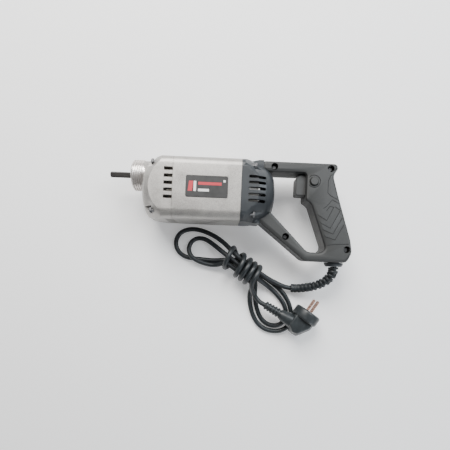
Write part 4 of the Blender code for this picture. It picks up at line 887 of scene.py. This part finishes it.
class MakeHandle(bpy.types.Operator):
    """Finishes the handle's two shells, trigger, lock button and gland"""
    bl_idname = "vibrator.make_handle"
    bl_label = "Handle"

    def execute(self, context):
        upper = smoothed_copy("handle_shell_left", "handle_shell_upper", "handle")
        self.groove_grip(upper)
        smoothed_copy("handle_shell_right", "handle_shell_under", "handle")
        smoothed_copy("trigger", "trigger_paddle", "handle", body="trigger")
        smoothed_copy("lock_button", "lock_button_cap", "handle", body="lock_button")
        smoothed_copy("cable_gland", "gland_collar", "rear")
        return {"FINISHED"}

    def groove_grip(self, shell):
        """Cuts the grip's moulded lines and the ring around the lock button, and paints shade on their cut
        faces.
        """
        _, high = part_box("handle_shell_left")
        width = settings("handle_finish").groove_width
        top = high[2]
        lines = []
        for route in GRIP_LINES:
            places = [Vector((x * 0.001, y * 0.001, top)) for x, y in route]
            lines += list(zip(places, places[1:]))
        # A darker slot that the cut faces take: painted shade in the grooves.
        shell.data.materials.append(finish("groove_shade"))
        for start, end in lines:
            nothing_selected()
            turn = math.atan2(end.y - start.y, end.x - start.x)
            bpy.ops.mesh.primitive_cube_add(size=1, location=(start + end) / 2, rotation=(0, 0, turn),
                                            scale=((end - start).length + width * 0.9, width, GROOVE_DEPTH))
            self.cut_with(shell, bpy.context.object)
        low_button, high_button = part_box("lock_button")
        middle = ((low_button[0] + high_button[0]) / 2, (low_button[1] + high_button[1]) / 2, top)
        nothing_selected()
        bpy.ops.mesh.primitive_torus_add(major_segments=48, minor_segments=8, location=middle,
                                         major_radius=BUTTON_RING_RADIUS, minor_radius=BUTTON_RING_WIDTH)
        self.cut_with(shell, bpy.context.object)

    def cut_with(self, shell, cutter):
        # The cutter's darker finish passes to the cut faces, as painted shade.
        dress(cutter, "groove_shade")
        with_modifier(shell, "BOOLEAN", operation="DIFFERENCE", object=cutter, solver="EXACT",
                      material_mode="TRANSFER")
        bpy.data.objects.remove(cutter)


class MakeLabel(bpy.types.Operator):
    """Prints the label on the motor casing"""
    bl_idname = "vibrator.make_label"
    bl_label = "Label"

    def execute(self, context):
        dress(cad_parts["label_plate"], "label")
        return {"FINISHED"}


class FinishInnerParts(bpy.types.Operator):
    """Gives the shaft, screws, bearings, motor and switch parts their finishes"""
    bl_idname = "vibrator.finish_inner_parts"
    bl_label = "Inner parts"

    def execute(self, context):
        groups = {
            "black_steel": ("drive_shaft",),
            "steel": ("armature_bearing_front", "armature_bearing_rear", "armature_shaft", "spindle_bearing",
                      "spindle_gear", "brush_spring_upper", "brush_spring_lower", "trigger_spring"),
            "cast": ("gearcase_plate",),
            "copper": ("armature_winding_front", "armature_winding_rear", "commutator", "field_coil_upper",
                       "field_coil_lower"),
            "lamination": ("armature_core", "stator_core"),
            "brass": ("brush_holder_upper", "brush_holder_lower", "spindle_bush"),
            "carbon": ("carbon_brush_upper", "carbon_brush_lower", "switch_body", "capacitor"),
            "nylon": ("cooling_fan", "fan_baffle", "cord_clamp"),
            "cord": ("nose_seal",),
        }
        for name, nodes in groups.items():
            for node in nodes:
                dress(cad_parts[node], name)
        self.spring_follows()
        for node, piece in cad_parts.items():
            if "_screw_" in node:
                dress(piece, "dark_screw" if node.startswith("handle") else "screw")
        return {"FINISHED"}

    def spring_follows(self):
        """Puts a copy of the trigger's spring, with its own mesh, on the housing in place of the CAD spring.
        """
        piece = bpy.data.objects.new("trigger_coil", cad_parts["trigger_spring"].data.copy())
        bpy.context.scene.collection.objects.link(piece)
        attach(piece, "housing")
        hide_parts("trigger_spring")
        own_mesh(piece)


OPERATORS = (MakeStage, MakeCord, MakeBendProtector, MakePlug, MakeCasings, MakeHandle, MakeLabel,
             FinishInnerParts)
ORDER = ("make_stage", "make_plug", "make_cord", "make_bend_protector", "make_casings", "make_handle",
         "make_label", "finish_inner_parts")


class VibratorPanel(bpy.types.Panel):
    """Lists the pieces' operators and sizes"""
    bl_idname = "VIBRATOR_PT_pieces"
    bl_label = "Vibrator"
    bl_space_type = "VIEW_3D"
    bl_region_type = "UI"
    bl_category = "Vibrator"

    def draw(self, context):
        column = self.layout.column()
        for operator in OPERATORS:
            column.operator(operator.bl_idname)
        for name in GROUPS:
            group = getattr(context.scene, name)
            for key in group.bl_rna.properties.keys():
                if key not in ("rna_type", "name"):
                    column.prop(group, key)


CLASSES = (*GROUPS.values(), *OPERATORS, VibratorPanel)


def register():
    for item in CLASSES:
        bpy.utils.register_class(item)
    for name, group in GROUPS.items():
        setattr(bpy.types.Scene, name, bpy.props.PointerProperty(type=group))


def unregister():
    for name in GROUPS:
        delattr(bpy.types.Scene, name)
    for item in reversed(CLASSES):
        bpy.utils.unregister_class(item)


def main():
    register()
    for name in ORDER:
        getattr(bpy.ops.vibrator, name)()


if __name__ == "__main__":
    main()
